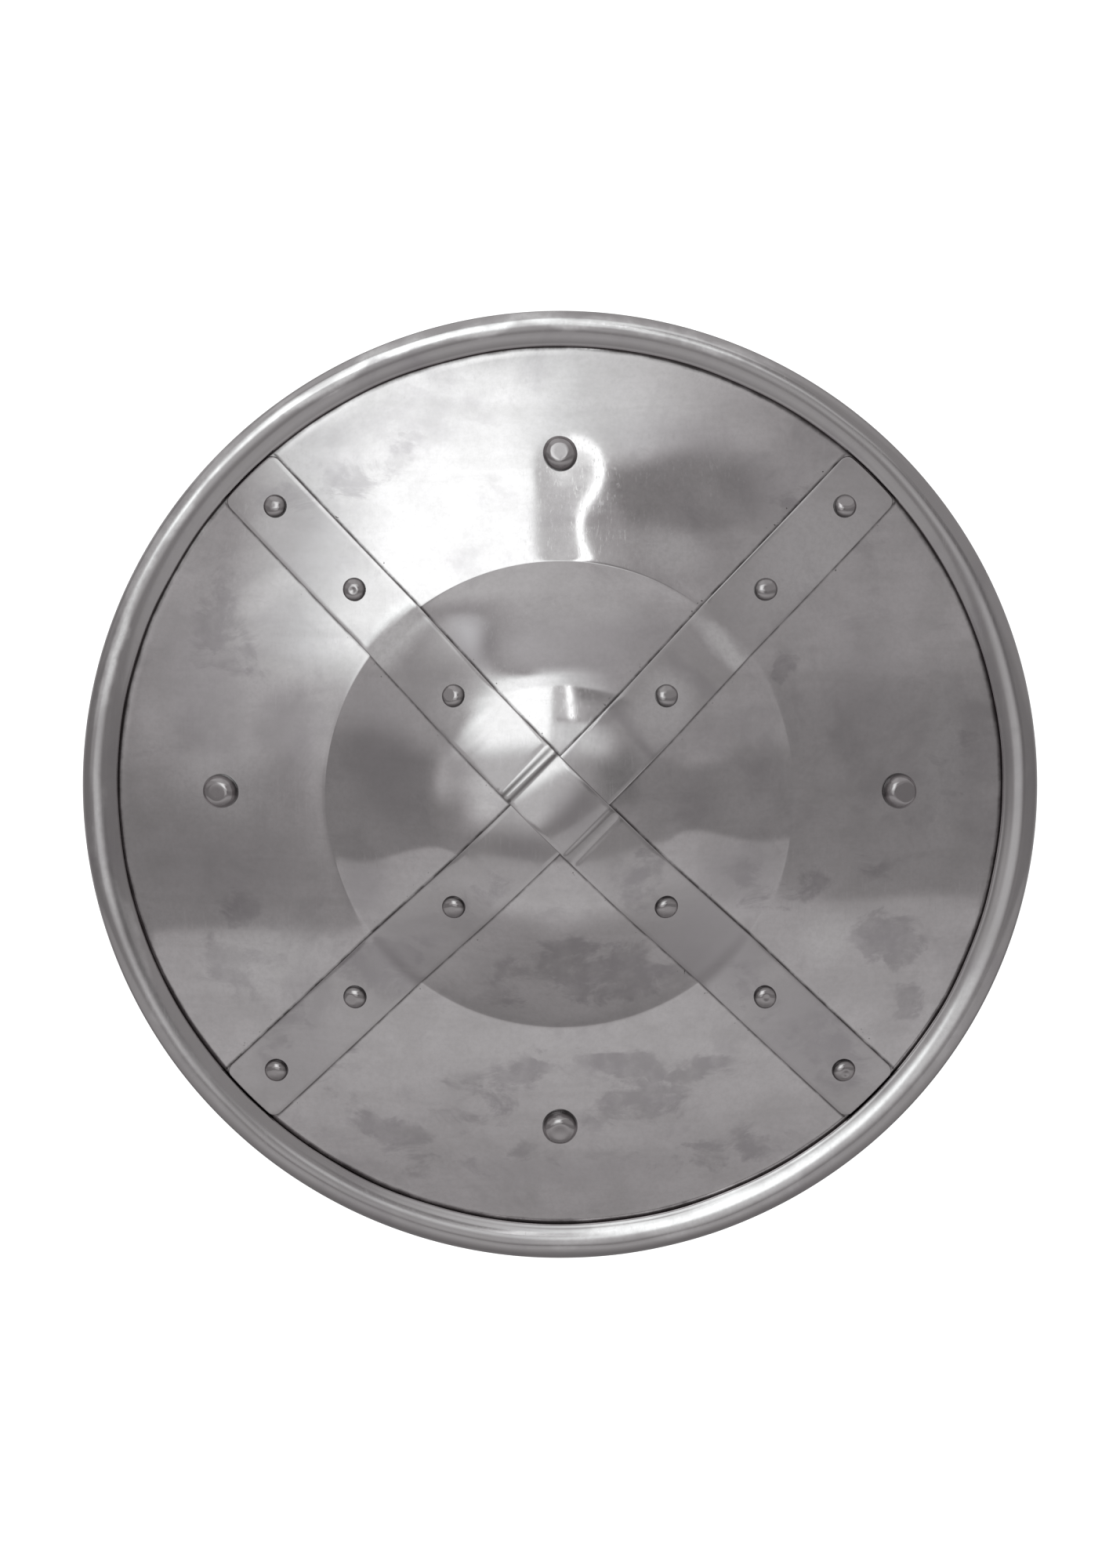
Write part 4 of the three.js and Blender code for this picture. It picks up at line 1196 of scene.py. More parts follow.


# The colour of stains, and of patches of painted shade
STAIN_AND_SHADE = colour(0.455, 0.424, 0.443)
# The colour of painted highlights: steel brighter than its tone
PAINTED_HIGHLIGHT_STEEL = colour(0.93, 0.90, 0.91)
WARM_HAZE = colour(0.50, 0.475, 0.475)
# The colour of dirt and of painted shade
GRIME_AND_SHADE = colour(0.06, 0.052, 0.052)

# Places on the face or the bands: x, y, half width, half height, turn in radians, strength
# Soft stains on the face, with patches of painted shade among them
FACE_STAINS_AND_SHADE = (
    (5.0, 57.0, 40.0, 10.0, 0.0, 0.35),
    # painted shade over a spot in the boss's flank hollow
    (-32.0, 57.0, 12.0, 12.0, 0.0, 0.75),
    (-72.0, -32.0, 8.0, 11.0, 0.0, 0.50),
    (50.0, 0.0, 9.0, 11.0, 0.0, 0.30),
    (-64.0, 16.0, 15.0, 26.0, 0.2, 0.50),
    (-98.0, 22.0, 11.0, 15.0, 0.0, 0.40),
    (-134.0, 36.0, 14.0, 30.0, 0.2, 0.40),
    (-95.0, 62.0, 15.0, 12.0, 0.4, 0.30),
    (-85.0, 122.0, 15.0, 10.0, 0.3, 0.30),
    (38.0, 128.0, 26.0, 9.0, -0.2, 0.35),
    (72.0, 110.0, 18.0, 10.0, -0.7, 0.35),
    (110.0, 38.0, 15.0, 24.0, 0.0, 0.30),
    (66.0, -28.0, 19.0, 13.0, 0.3, 0.45),
    (-120.0, -28.0, 30.0, 16.0, 0.0, 0.25),
    (0.0, -141.0, 30.0, 6.0, 0.0, 0.25),
)
# Where ragged stains gather
FACE_CLOUDS = (
    (6.0, -64.0, 38.0, 10.0, 0.0, 0.65),
    (-14.0, -72.0, 16.0, 8.0, 0.2, 0.45),
    (70.0, -34.0, 14.0, 10.0, 0.3, 0.45),
    (80.0, 53.0, 6.0, 5.0, 0.6, 0.60),
    (113.0, -20.0, 8.0, 11.0, 0.0, 0.35),
    (89.0, -33.0, 11.0, 8.0, 0.3, 0.45),
    (120.0, -54.0, 17.0, 12.0, 0.2, 0.80),
    (124.0, -76.0, 5.0, 6.0, 0.0, 0.60),
    (38.0, -104.0, 32.0, 7.0, -0.05, 0.62),
    (28.0, -116.0, 20.0, 8.0, 0.2, 0.50),
    (-27.0, -108.0, 24.0, 11.0, 0.3, 0.50),
    (-88.0, -104.0, 20.0, 10.0, 0.3, 0.50),
    (-65.0, -127.0, 24.0, 8.0, -0.4, 0.60),
    (-10.0, -136.0, 30.0, 7.0, 0.0, 0.42),
    (51.0, -135.0, 26.0, 7.0, 0.1, 0.55),
    (-118.0, -60.0, 18.0, 22.0, 0.3, 0.42),
    (-122.0, 60.0, 14.0, 20.0, 0.5, 0.42),
    (-70.0, 118.0, 24.0, 10.0, 0.5, 0.42),
    (96.0, 96.0, 22.0, 12.0, -0.7, 0.45),
    (140.0, 10.0, 9.0, 24.0, 0.0, 0.45),
)
# Painted highlights: places painted as brighter steel
FACE_PAINTED_HIGHLIGHTS = (
    (40.0, 92.0, 12.0, 9.0, -0.6, 0.55),
    (-122.0, 2.0, 19.0, 13.0, 0.0, 0.50),
    (98.0, -52.0, 12.0, 9.0, 0.6, 0.35),
    (-108.0, -60.0, 24.0, 14.0, 0.2, 0.35),
    (-30.0, -38.0, 10.0, 6.0, 0.6, 0.40),
    (140.0, 12.0, 8.0, 26.0, 0.0, 0.30),
    (18.0, 34.0, 13.0, 6.0, -0.4, 0.40),
)
# Painted shade on the bands: patches on the arms and over the crossing, and thin streaks on the upper right
# arm
BAND_PAINTED_SHADE = (
    (92.0, -90.0, 24.0, 24.0, 0.0, 0.50),
    (56.0, -52.0, 22.0, 22.0, 0.0, 0.65),
    (-58.0, -58.0, 20.0, 20.0, 0.0, 0.40),
    (-98.0, -98.0, 16.0, 16.0, 0.0, 0.25),
    (-90.0, 88.0, 16.0, 16.0, 0.0, 0.35),
    (-14.0, -16.0, 9.0, 8.0, 0.0, 0.40),
    (5.0, -3.0, 11.0, 8.0, 0.78, 0.45),
    (50.0, 44.0, 16.0, 3.0, -0.6, 0.45),
    (26.0, 27.0, 16.0, 2.4, -0.9, 0.45),
)
BAND_CLOUDS = (
    (-64.0, -60.0, 16.0, 12.0, 0.6, 0.55),
    (-98.0, -92.0, 14.0, 10.0, 0.8, 0.50),
    (-30.0, -34.0, 12.0, 9.0, 0.6, 0.50),
    (30.0, -28.0, 12.0, 10.0, -0.6, 0.50),
    (72.0, -74.0, 14.0, 9.0, -0.8, 0.55),
    (102.0, -98.0, 16.0, 12.0, -0.6, 0.55),
    (84.0, 78.0, 14.0, 10.0, 0.8, 0.45),
    (-100.0, 104.0, 12.0, 10.0, 0.4, 0.40),
)
# Painted highlights on the bands
BAND_PAINTED_HIGHLIGHTS = (
    (38.0, 32.0, 12.0, 12.0, 0.0, 0.55),
    (-36.0, 34.0, 9.0, 9.0, 0.0, 0.40),
    (24.0, 10.0, 12.0, 12.0, 0.0, 0.40),
    (92.0, 88.0, 26.0, 20.0, 0.8, 0.45),
    (62.0, 55.5, 18.0, 4.0, -0.66, 1.0),
    (40.0, 38.0, 10.0, 9.0, 0.0, 0.6),
    (-61.0, 58.0, 18.0, 6.5, 0.78, 1.0),
    (-34.0, 32.0, 9.0, 7.0, 0.78, 0.5),
)
# Painted highlights along stretches of the rim: first and last angle in degrees, radius, half width, strength
RIM_PAINTED_HIGHLIGHTS = (
    (72.0, 165.0, 171.2, 2.0, 0.8),
    (-84.0, -24.0, 166.6, 3.4, 0.5),
    (186.0, 214.0, 168.0, 2.4, 0.4),
)
RIM_HIGHLIGHT_STEP = 9.0

# Patches: how far their outlines wander and by which noise, and how they fade from their middle
SHADE_WANDER = 16.0
SHADE_NOISE = (28.0, 4.0, 0.6)
STAIN_WANDER = 40.0
STAIN_NOISE = (34.0, 4.0, 0.6)
PATCH_FADE = (1.5, 0.3)
# Stains: streaks, pulled towards the patches, and an even cloud under them
STREAK_STRETCH = (50.0, 50.0, 85.0)
STREAK_NOISE = (1.0, 6.0, 0.66)
STREAK_DISTORTION = 0.5
STREAK_PULL = 0.34
STREAK_RAMP = (0.53, 0.71, 0.0, 0.9)
GATHER_RAMP = (0.0, 0.4, 0.35, 1.0)
CLOUD_SHARE = 0.25
# Polishing lines: turn in radians and fineness across them, then along them
SCRATCHES = ((0.35, 900.0), (-0.8, 1300.0), (1.35, 1100.0), (2.4, 700.0))
SCRATCH_RUN = 12.0
SCRATCH_NOISE = (1.0, 2.0, 0.6)
SCRATCH_RAMP = (0.62, 0.74)
# Painted shade in the groove at the rim's lip, dirt and painted shade along the bands, and pits near them
GROOVE_NOISE = (90.0, 4.0, 0.7)
GROOVE_WANDER = 1.8
GROOVE_SHADE = (2.2, 0.3)
GROOVE_SHARE = 0.95
EDGE_REACH = 1.1
EDGE_NOISE = (130.0, 4.0, 0.6)
EDGE_RAMP = (0.3, 0.6, 0.45, 0.95)
PIT_REACH = 5.0
PIT_NOISE = (850.0, 2.0, 0.5)
PIT_RAMP = (0.70, 0.76)
PIT_NEAR = (0.2, 0.7)
# Steel all over
BLOT_NOISE = (22.0, 5.0, 0.62)
BLOT_DISTORTION = 0.6
BLOT_RAMP = (0.5, 0.68)
FLECK_NOISE = (160.0, 4.0, 0.6)
FLECK_RAMP = (0.3, 0.62, 0.6, 1.0)
HAZE_NOISE = (60.0, 4.0, 0.6)
HAZE_RAMP = (0.35, 0.75, 0.0, 0.34)
BRUSHED_STRETCH = (14.0, 14.0, 130.0)
BRUSHED_NOISE = (1.0, 4.0, 0.6)
BRUSHED_DISTORTION = 0.3
BRUSHED_RAMP = (0.45, 0.7, 0.0, 0.2)
GRAIN_NOISE = (520.0, 3.0, 0.7)
GRAIN_RAMP = (0.35, 0.7, 0.0, 0.22)
POLISH_NOISE = (14.0, 3.0, 0.5)
POLISH_RAMP = (0.3, 0.7)
POLISH_SHARES = (0.8, 1.25)
LINE_ROUGHNESS = 0.06
BLOT_ROUGHNESS = 0.05
BRUSHED_ROUGHNESS = (0.4, 0.7, 0.0, 0.03)
LINE_DEPTH = -0.5
RELIEF_NOISE = (400.0, 3.0, 0.6)
RELIEF = 0.0012
EDGE_SHARE = 0.9
BEHIND_SHARE = 0.55
BEHIND_DULLNESS = 0.26


def rim_painted_highlights():
    """Painted highlights along the rim, patches laid end to end over each stretch."""
    patches = []
    for first, last, radius, half_width, strength in RIM_PAINTED_HIGHLIGHTS:
        for angle in np.radians(np.arange(first, last, RIM_HIGHLIGHT_STEP)):
            length = radius * math.radians(RIM_HIGHLIGHT_STEP)
            place = (radius * math.cos(angle), radius * math.sin(angle))
            patches.append((*place, length, half_width, angle + RIGHT_ANGLE, strength))
    return patches


def soft_patches(nodes, patches, reach=SHADE_WANDER, noise=SHADE_NOISE):
    """Soft patches of the face, as strong as their rows say in the middle and 0 off them."""
    wander = nodes.noise(noise, output="Color")
    shift = nodes.vector("MULTIPLY_ADD", wander, (reach * MM,) * 3, (-reach * MM / 2,) * 3)
    moved = nodes.vector("ADD", nodes.place, shift)
    masks = []
    for x, y, half_width, half_height, turn, strength in patches:
        local = nodes.add("ShaderNodeMapping", vector_type="TEXTURE")
        local.inputs["Location"].default_value = (x * MM, 0.0, y * MM)
        local.inputs["Rotation"].default_value = (0.0, -turn, 0.0)
        local.inputs["Scale"].default_value = (half_width * MM, 1.0, half_height * MM)
        nodes.link(moved, local.inputs["Vector"])
        away = nodes.vector("LENGTH", local.outputs["Vector"], output="Value")
        masks.append(nodes.ramp(away, *PATCH_FADE, 0.0, strength))
    return nodes.most(masks)


def stains(nodes, patches):
    """Ragged streaky stains gathered round patches, with a faint even cloud under them."""
    soft = soft_patches(nodes, patches, STAIN_WANDER, STAIN_NOISE)
    streaks = nodes.noise(STREAK_NOISE, nodes.scaled(STREAK_STRETCH), STREAK_DISTORTION)
    score = nodes.math("ADD", streaks, nodes.math("MULTIPLY", soft, STREAK_PULL))
    ragged = nodes.math("MULTIPLY", nodes.ramp(score, *STREAK_RAMP), nodes.ramp(soft, *GATHER_RAMP))
    return nodes.math("MAXIMUM", ragged, nodes.math("MULTIPLY", soft, CLOUD_SHARE))


def scratches(nodes, seed):
    """Fine polishing lines in several directions, 1 on a line and 0 off it."""
    vectors = [nodes.scaled((fine, fine, SCRATCH_RUN), (0.0, turn + seed, 0.0)) for turn, fine in SCRATCHES]
    return nodes.most([nodes.ramp(nodes.noise(SCRATCH_NOISE, vector), *SCRATCH_RAMP) for vector in vectors])


def near_bands(nodes, reach):
    """1 beside the edges of the crossed bands, falling to 0 at a distance."""
    separate = nodes.add("ShaderNodeSeparateXYZ")
    nodes.link(nodes.place, separate.inputs["Vector"])
    x, z = separate.outputs["X"], separate.outputs["Z"]
    masks = []
    for way in ("ADD", "SUBTRACT"):
        across = nodes.math("MULTIPLY", nodes.math(way, x, z), math.sqrt(0.5))
        from_edge = nodes.math("SUBTRACT", nodes.math("ABSOLUTE", across), BAND_HALF * MM)
        masks.append(nodes.ramp(nodes.math("ABSOLUTE", from_edge), reach * MM, 0.0))
    return nodes.most(masks)


def near_rim(nodes):
    """Rises from 0 to 1 towards the groove at the rim's lip."""
    flat = nodes.vector("MULTIPLY", nodes.place, (1.0, 0.0, 1.0))
    radius = nodes.vector("LENGTH", flat, output="Value")
    wander = nodes.math("SUBTRACT", nodes.noise(GROOVE_NOISE), 0.5)
    edge = nodes.math("ADD", radius, nodes.math("MULTIPLY", wander, GROOVE_WANDER * MM))
    return nodes.ramp(edge, *((GROOVE_RADIUS - inset) * MM for inset in GROOVE_SHADE))


def plate_grime_and_shade(nodes):
    """Painted shade in the groove at the rim's lip, dirt and painted shade along the bands, with pits where
    dirt has bitten in.
    """
    rim = near_rim(nodes)
    groove = nodes.math("MULTIPLY", rim, GROOVE_SHARE)
    uneven = nodes.ramp(nodes.noise(EDGE_NOISE), *EDGE_RAMP)
    thin = nodes.math("MULTIPLY", near_bands(nodes, EDGE_REACH), uneven)
    near = nodes.math("MAXIMUM", near_bands(nodes, PIT_REACH), rim)
    pits = nodes.ramp(nodes.noise(PIT_NOISE), *PIT_RAMP)
    pits = nodes.math("MULTIPLY", pits, nodes.ramp(near, *PIT_NEAR))
    return nodes.most([groove, thin, pits])


def steel(
    name, tone, roughness, blots, seed, grime_and_shade=None, clouds=(), stains_and_shade=(), lights=(), edge=None, behind=None
):
    """Polished steel: cloudy stains, fine polishing lines, patches of stain and painted shade, and painted
    highlights.
    """
    nodes = Nodes(bpy.data.materials.new(name))
    if behind:
        back = nodes.attribute("behind")
        front = nodes.math("SUBTRACT", 1.0, back)

    def on_front(share):
        return nodes.math("MULTIPLY", share, front) if behind else share

    blot = nodes.ramp(nodes.noise(BLOT_NOISE, distortion=BLOT_DISTORTION, finer=seed), *BLOT_RAMP)
    blot = nodes.math("MULTIPLY", blot, blots)
    if clouds:
        blot = nodes.math("MAXIMUM", blot, on_front(stains(nodes, clouds)))
    blot = nodes.math("MULTIPLY", blot, nodes.ramp(nodes.noise(FLECK_NOISE), *FLECK_RAMP))
    brushed = nodes.noise(BRUSHED_NOISE, nodes.scaled(BRUSHED_STRETCH), BRUSHED_DISTORTION)
    base = nodes.mix(blot, tone, STAIN_AND_SHADE)
    base = nodes.mix(nodes.ramp(nodes.noise(HAZE_NOISE), *HAZE_RAMP), base, WARM_HAZE)
    base = nodes.mix(nodes.ramp(brushed, *BRUSHED_RAMP), base, WARM_HAZE)
    # Patches of stain and of painted shade
    if stains_and_shade:
        base = nodes.mix(on_front(soft_patches(nodes, stains_and_shade)), base, STAIN_AND_SHADE)
    # Painted highlights: patches of brighter steel
    if lights:
        base = nodes.mix(on_front(soft_patches(nodes, lights)), base, PAINTED_HIGHLIGHT_STEEL)
    base = nodes.mix(nodes.ramp(nodes.noise(GRAIN_NOISE), *GRAIN_RAMP), base, WARM_HAZE)
    # Painted shade at the marked edges: the rivets' feet, and the bands' edges and folds, which have dirt too
    if edge:
        base = nodes.mix(nodes.math("MULTIPLY", nodes.attribute("edge"), EDGE_SHARE), base, edge)
    # Painted shade in the rim's groove, dirt and painted shade along the bands, and pits
    if grime_and_shade:
        base = nodes.mix(on_front(grime_and_shade(nodes)), base, GRIME_AND_SHADE)
    lines = scratches(nodes, seed)
    finer, duller = POLISH_SHARES
    rough = nodes.ramp(nodes.noise(POLISH_NOISE), *POLISH_RAMP, roughness * finer, roughness * duller)
    rough = nodes.math("ADD", rough, nodes.math("MULTIPLY", lines, LINE_ROUGHNESS))
    rough = nodes.math("ADD", rough, nodes.ramp(brushed, *BRUSHED_ROUGHNESS))
    rough = nodes.math("ADD", rough, nodes.math("MULTIPLY", blot, BLOT_ROUGHNESS))
    if behind:
        base = nodes.mix(nodes.math("MULTIPLY", back, BEHIND_SHARE), base, behind)
        rough = nodes.math("ADD", rough, nodes.math("MULTIPLY", back, BEHIND_DULLNESS))
    nodes.shade("Base Color", base)
    nodes.shade("Roughness", rough)
    nodes.shade("Metallic", 1.0)
    relief = nodes.math("ADD", nodes.math("MULTIPLY", lines, LINE_DEPTH), nodes.noise(RELIEF_NOISE))
    nodes.bump(relief, RELIEF)
    return nodes.owner


LEATHER_DARK = colour(0.060, 0.027, 0.013)
LEATHER_LIGHT = colour(0.120, 0.055, 0.025)
LEATHER_WORN = colour(0.190, 0.095, 0.045)
LEATHER_EDGE = colour(0.022, 0.012, 0.008)
LEATHER_CELLS = 900.0
CELL_RAMP = (0.0, 0.12)
PORE_NOISE = (1600.0, 4.0, 0.6)
PORE_DEPTH = 0.6
MOTTLE_NOISE = (70.0, 5.0, 0.6)
MOTTLE_RAMP = (0.3, 0.7)
WEAR_NOISE = (24.0, 4.0, 0.65)
WEAR_RAMP = (0.52, 0.75, 0.0, 0.5)
WEAR_ROUGHNESS = (0.3, 0.7, 0.62, 0.44)
LEATHER_EDGE_RAMP = (0.55, 1.0, 0.0, 0.85)
LEATHER_RELIEF = (0.12, 0.7)


def leather_material():
    nodes = Nodes(bpy.data.materials.new("strap_leather"))
    cells = nodes.add("ShaderNodeTexVoronoi", feature="DISTANCE_TO_EDGE")
    cells.inputs["Scale"].default_value = LEATHER_CELLS
    nodes.link(nodes.place, cells.inputs["Vector"])
    wear = nodes.noise(WEAR_NOISE)
    base = nodes.mix(nodes.ramp(nodes.noise(MOTTLE_NOISE), *MOTTLE_RAMP), LEATHER_DARK, LEATHER_LIGHT)
    base = nodes.mix(nodes.ramp(wear, *WEAR_RAMP), base, LEATHER_WORN)
    base = nodes.mix(nodes.ramp(nodes.attribute("edge"), *LEATHER_EDGE_RAMP), base, LEATHER_EDGE)
    nodes.shade("Base Color", base)
    nodes.shade("Roughness", nodes.ramp(wear, *WEAR_ROUGHNESS))
    pores = nodes.math("MULTIPLY", nodes.noise(PORE_NOISE), PORE_DEPTH)
    nodes.bump(nodes.math("ADD", nodes.ramp(cells.outputs["Distance"], *CELL_RAMP), pores), *LEATHER_RELIEF)
    return nodes.owner


THREAD_DARK = colour(0.42, 0.34, 0.22)
THREAD_LIGHT = colour(0.62, 0.53, 0.38)
THREAD_NOISE = (1500.0, 2.0, 0.5)
THREAD_ROUGHNESS = 0.6
THREAD_RELIEF = (0.1, 0.8)


def thread_material():
    nodes = Nodes(bpy.data.materials.new("waxed_thread"))
    twist = nodes.noise(THREAD_NOISE)
    nodes.shade("Base Color", nodes.mix(twist, THREAD_DARK, THREAD_LIGHT))
    nodes.shade("Roughness", THREAD_ROUGHNESS)
    nodes.bump(twist, *THREAD_RELIEF)
    return nodes.owner


BRASS = colour(0.72, 0.52, 0.24)
BRASS_PATINA = colour(0.36, 0.24, 0.11)
PATINA_NOISE = (220.0, 5.0, 0.65)
PATINA_RAMP = (0.45, 0.7)
PATINA_ROUGHNESS = (0.3, 0.8, 0.22, 0.48)
BRASS_NOISE = (700.0, 3.0, 0.5)
BRASS_RELIEF = (0.02, 0.6)


def brass_material():
    nodes = Nodes(bpy.data.materials.new("buckle_brass"))
    patina = nodes.noise(PATINA_NOISE)
    nodes.shade("Base Color", nodes.mix(nodes.ramp(patina, *PATINA_RAMP), BRASS, BRASS_PATINA))
    nodes.shade("Roughness", nodes.ramp(patina, *PATINA_ROUGHNESS))
    nodes.shade("Metallic", 1.0)
    nodes.bump(nodes.noise(BRASS_NOISE), *BRASS_RELIEF)
    return nodes.owner


# Each steel's name, colour, roughness, share of blots, and seed
plate_steel = steel(
    "plate_steel", colour(0.715, 0.678, 0.690), 0.062, 0.5, 0.0,
    grime_and_shade=plate_grime_and_shade, clouds=FACE_CLOUDS, stains_and_shade=FACE_STAINS_AND_SHADE, lights=FACE_PAINTED_HIGHLIGHTS,
    behind=colour(0.36, 0.34, 0.34),
)
rim_steel = steel("rim_steel", colour(0.540, 0.511, 0.520), 0.13, 0.8, 0.7, lights=rim_painted_highlights())
# The bands' marked edges, undersides and joggle folds darken to the edge colour: dirt and painted shade
band_steel = steel(
    "band_steel", colour(0.635, 0.602, 0.612), 0.10, 0.5, 1.3,
    clouds=BAND_CLOUDS, stains_and_shade=BAND_PAINTED_SHADE, lights=BAND_PAINTED_HIGHLIGHTS, edge=colour(0.10, 0.09, 0.09),
)
# The rivets' feet darken to the edge colour: painted shade
rivet_steel = steel(
    "rivet_steel", colour(0.47, 0.437, 0.447), 0.12, 0.5, 2.1,
    edge=colour(0.03, 0.027, 0.027),
)
washer_steel = steel("washer_steel", colour(0.55, 0.53, 0.54), 0.36, 0.6, 2.9)
wire_steel = steel("wire_steel", colour(0.42, 0.40, 0.41), 0.45, 0.5, 3.7)
strap_leather = leather_material()
thread = thread_material()
brass = brass_material()


# The object

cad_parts["rim_wire"].data.materials.clear()
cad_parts["rim_wire"].data.materials.append(wire_steel)
make_plate()
make_rim()
make_band("band_lower_finished", RIGHT_ANGLE / 2, 0.0, "band_lower")
make_band("band_upper_finished", -RIGHT_ANGLE / 2, BAND_THICKNESS + CLEARANCE, "band_upper")
make_rivets()
make_grip_strap()
make_buckle_end()
make_billet()
make_buckle_frame()
make_tongue()
make_keeper()


# The stage: a white floor and world, and a tent of grey cloth and cards that only the steel mirrors.
# Angles are in degrees, other sizes in metres, but the lens and sensor are in millimetres.

CAMERA_ELEVATION = 7.3
CAMERA_DISTANCE = 5.99
CAMERA_LENS = 375.0
SENSOR = 36.0
AIM_HEIGHT = 0.0003
WORLD_LEVEL = 0.75
WHITE = colour(1, 1, 1)
FLOOR_HEIGHT = -1.6
FLOOR_SIZE = 60.0
FLOOR_COLOUR = colour(0.85, 0.85, 0.85)
FLOOR_GLOW = 0.55
# The lamps' names, azimuths and elevations
LAMPS = (("key", -35, 50), ("back_key", 150, 40))
LAMP_DISTANCE = 2.2
LAMP_SIZE = 1.0
LAMP_GLOW = 3.0
TENT_RADIUS = 6.0
TENT_BOTTOM = -1.55
# The tent's mesh is finer in front, from left to right and from low to high. Its step is in elevation, and
# half as much in azimuth.
TENT_LEFT, TENT_RIGHT = -45, 25
TENT_LOW, TENT_HIGH = -26, 50
TENT_STEP = 0.5
TENT_LEFT_STEP = 3.0
TENT_LOW_STEP = 2.0
TENT_RIGHT_COUNT = 52
TENT_HIGH_COUNT = 21
DIM_TINT = colour(1.0, 0.99, 0.99)
BRIGHT_TINT = colour(0.95, 1.0, 0.99)
WALL_GLOW = 0.32
SIDE_GLOW = 0.26
BACK_GLOW = 0.42
BACK_FLOOR_GLOW = 0.26
# Where the walls and the floor change towards the sides and the back: azimuth and reach
SIDE = (15, 40)
BACK = (95, 35)
BACK_FLOOR = (90, 40)
# The tent's floor: how far down, how bright, how much darker at the sides, and its edge
FLOOR_DOWN = (20, 35, 50, 65, 80)
FLOOR_GLOWS = (0.48, 0.55, 0.42, 0.32, 0.28)
FLOOR_SIDE = 90
FLOOR_SIDE_LOSS = 0.2
FLOOR_EDGE = 19.6
FLOOR_SOFTNESS = 1.2
FLOOR_LEAN = 2.0
FLOOR_LEAN_REACH = 30
# Cards and lamps on the tent, each over the ones before it: azimuth from and to, softness of the left and
# right edges, elevation from and to, softness of the lower and upper edges. Last, how bright.
TENT_CARDS = (
    # the wall in front, and the darker openings at its right
    (-9.4, 200, 37.6, 9.4, 3.3, 60, 9.4, 18.8, 0.37),
    (7.5, 22.6, 7.5, 11.3, -8, 7.1, 7.5, 7.5, 0.20),
    (22.6, 65.8, 13.2, 18.8, -15.5, 3.3, 7.5, 7.5, 0.27),
    # the walls at the left
    (-95, -34, 20, 18, 10, 50, 12, 14, 0.42),
    (-46, -14, 16, 14, -5, 15, 9, 12, 0.50),
    # a card under the soft box
    (-24.4, 1.9, 13.2, 15, -11.7, 10.8, 9.4, 7.5, 0.70),
    # the ceiling
    (-200, 200, 9.4, 9.4, 37.2, 200, 9.4, 9.4, 0.42),
    (-200, 200, 9.4, 9.4, 46.6, 200, 9.4, 9.4, 0.50),
    (-200, 4.7, 9.4, 56.4, 46.6, 200, 9.4, 9.4, 0.60),
    # the light on the tent's slope over the soft box
    (-11.3, 16, 11.3, 32, 30, 45, 3.5, 7, 0.92),
    (-33.8, -1, 24.4, 14, 25.9, 41, 9.4, 5, 1.42),
    # the soft box
    (-29.1, -1.9, 22.6, 2.3, 7.1, 30, 6.6, 3, 1.60),
    # the frame at its right, with the strip lamp in it
    (-2, 12, 3, 12, 4, 14.5, 8, 2, 0.92),
    (-1.9, 1.9, 1.4, 1.4, 15.5, 30, 1.5, 2.8, 0.72),
    (2.2, 3.7, 0.4, 0.4, 15.5, 31, 1.5, 2, 2.60),
    (3.8, 7.5, 1.0, 4.5, 15.5, 29, 1.5, 2.8, 0.50),
    (5, 23, 2.5, 6, 22, 29, 2.5, 2, 0.28),
)


def directions(azimuths, elevations):
    """Unit vectors towards azimuths to the right of the camera's side and elevations."""
    a, e = np.radians(azimuths), np.radians(elevations)
    return np.stack([np.sin(a) * np.cos(e), -np.cos(a) * np.cos(e), np.sin(e)], -1)


def place_and_turn(thing, place, aim):
    thing.location = place
    thing.rotation_mode = "QUATERNION"
    thing.rotation_quaternion = (aim - place).to_track_quat("-Z", "Y")


def add_camera():
    data = bpy.data.cameras.new("camera")
    data.lens = CAMERA_LENS
    data.sensor_width = SENSOR
    camera = put_in_scene("camera", data)
    aim = Vector((0, 0, AIM_HEIGHT))
    place_and_turn(camera, aim + Vector(directions(0, CAMERA_ELEVATION)) * CAMERA_DISTANCE, aim)
    bpy.context.scene.camera = camera


def add_lamp(name, azimuth, elevation):
    """A soft lamp that faces the shield and that steel doesn't mirror. Its glow is a radiance."""
    data = bpy.data.lights.new(name, "AREA")
    data.shape = "RECTANGLE"
    data.size, data.size_y = LAMP_SIZE, LAMP_SIZE
    data.energy = LAMP_GLOW * math.pi * LAMP_SIZE**2
    lamp = put_in_scene(name, data)
    place_and_turn(lamp, Vector(directions(azimuth, elevation)) * LAMP_DISTANCE, Vector((0, 0, 0)))
    lamp.visible_glossy = False


def seen(nodes):
    """1 for the camera's, mirrored and transmitted rays, 0 for the rest."""
    path = nodes.add("ShaderNodeLightPath").outputs
    return nodes.most([path["Is Camera Ray"], path["Is Glossy Ray"], path["Is Transmission Ray"]])


def add_world():
    world = bpy.data.worlds.new("studio")
    bpy.context.scene.world = world
    nodes = Nodes(world)
    background = nodes.tree.nodes["Background"]
    background.inputs["Color"].default_value = WHITE
    nodes.link(nodes.ramp(seen(nodes), 0.0, 1.0, WORLD_LEVEL, 1.0), background.inputs["Strength"])


def add_stage_mesh(name, points, faces, material):
    mesh = bpy.data.meshes.new(name)
    mesh.from_pydata(points, [], faces)
    mesh.materials.append(material)
    piece = put_in_scene(name, mesh)
    return piece


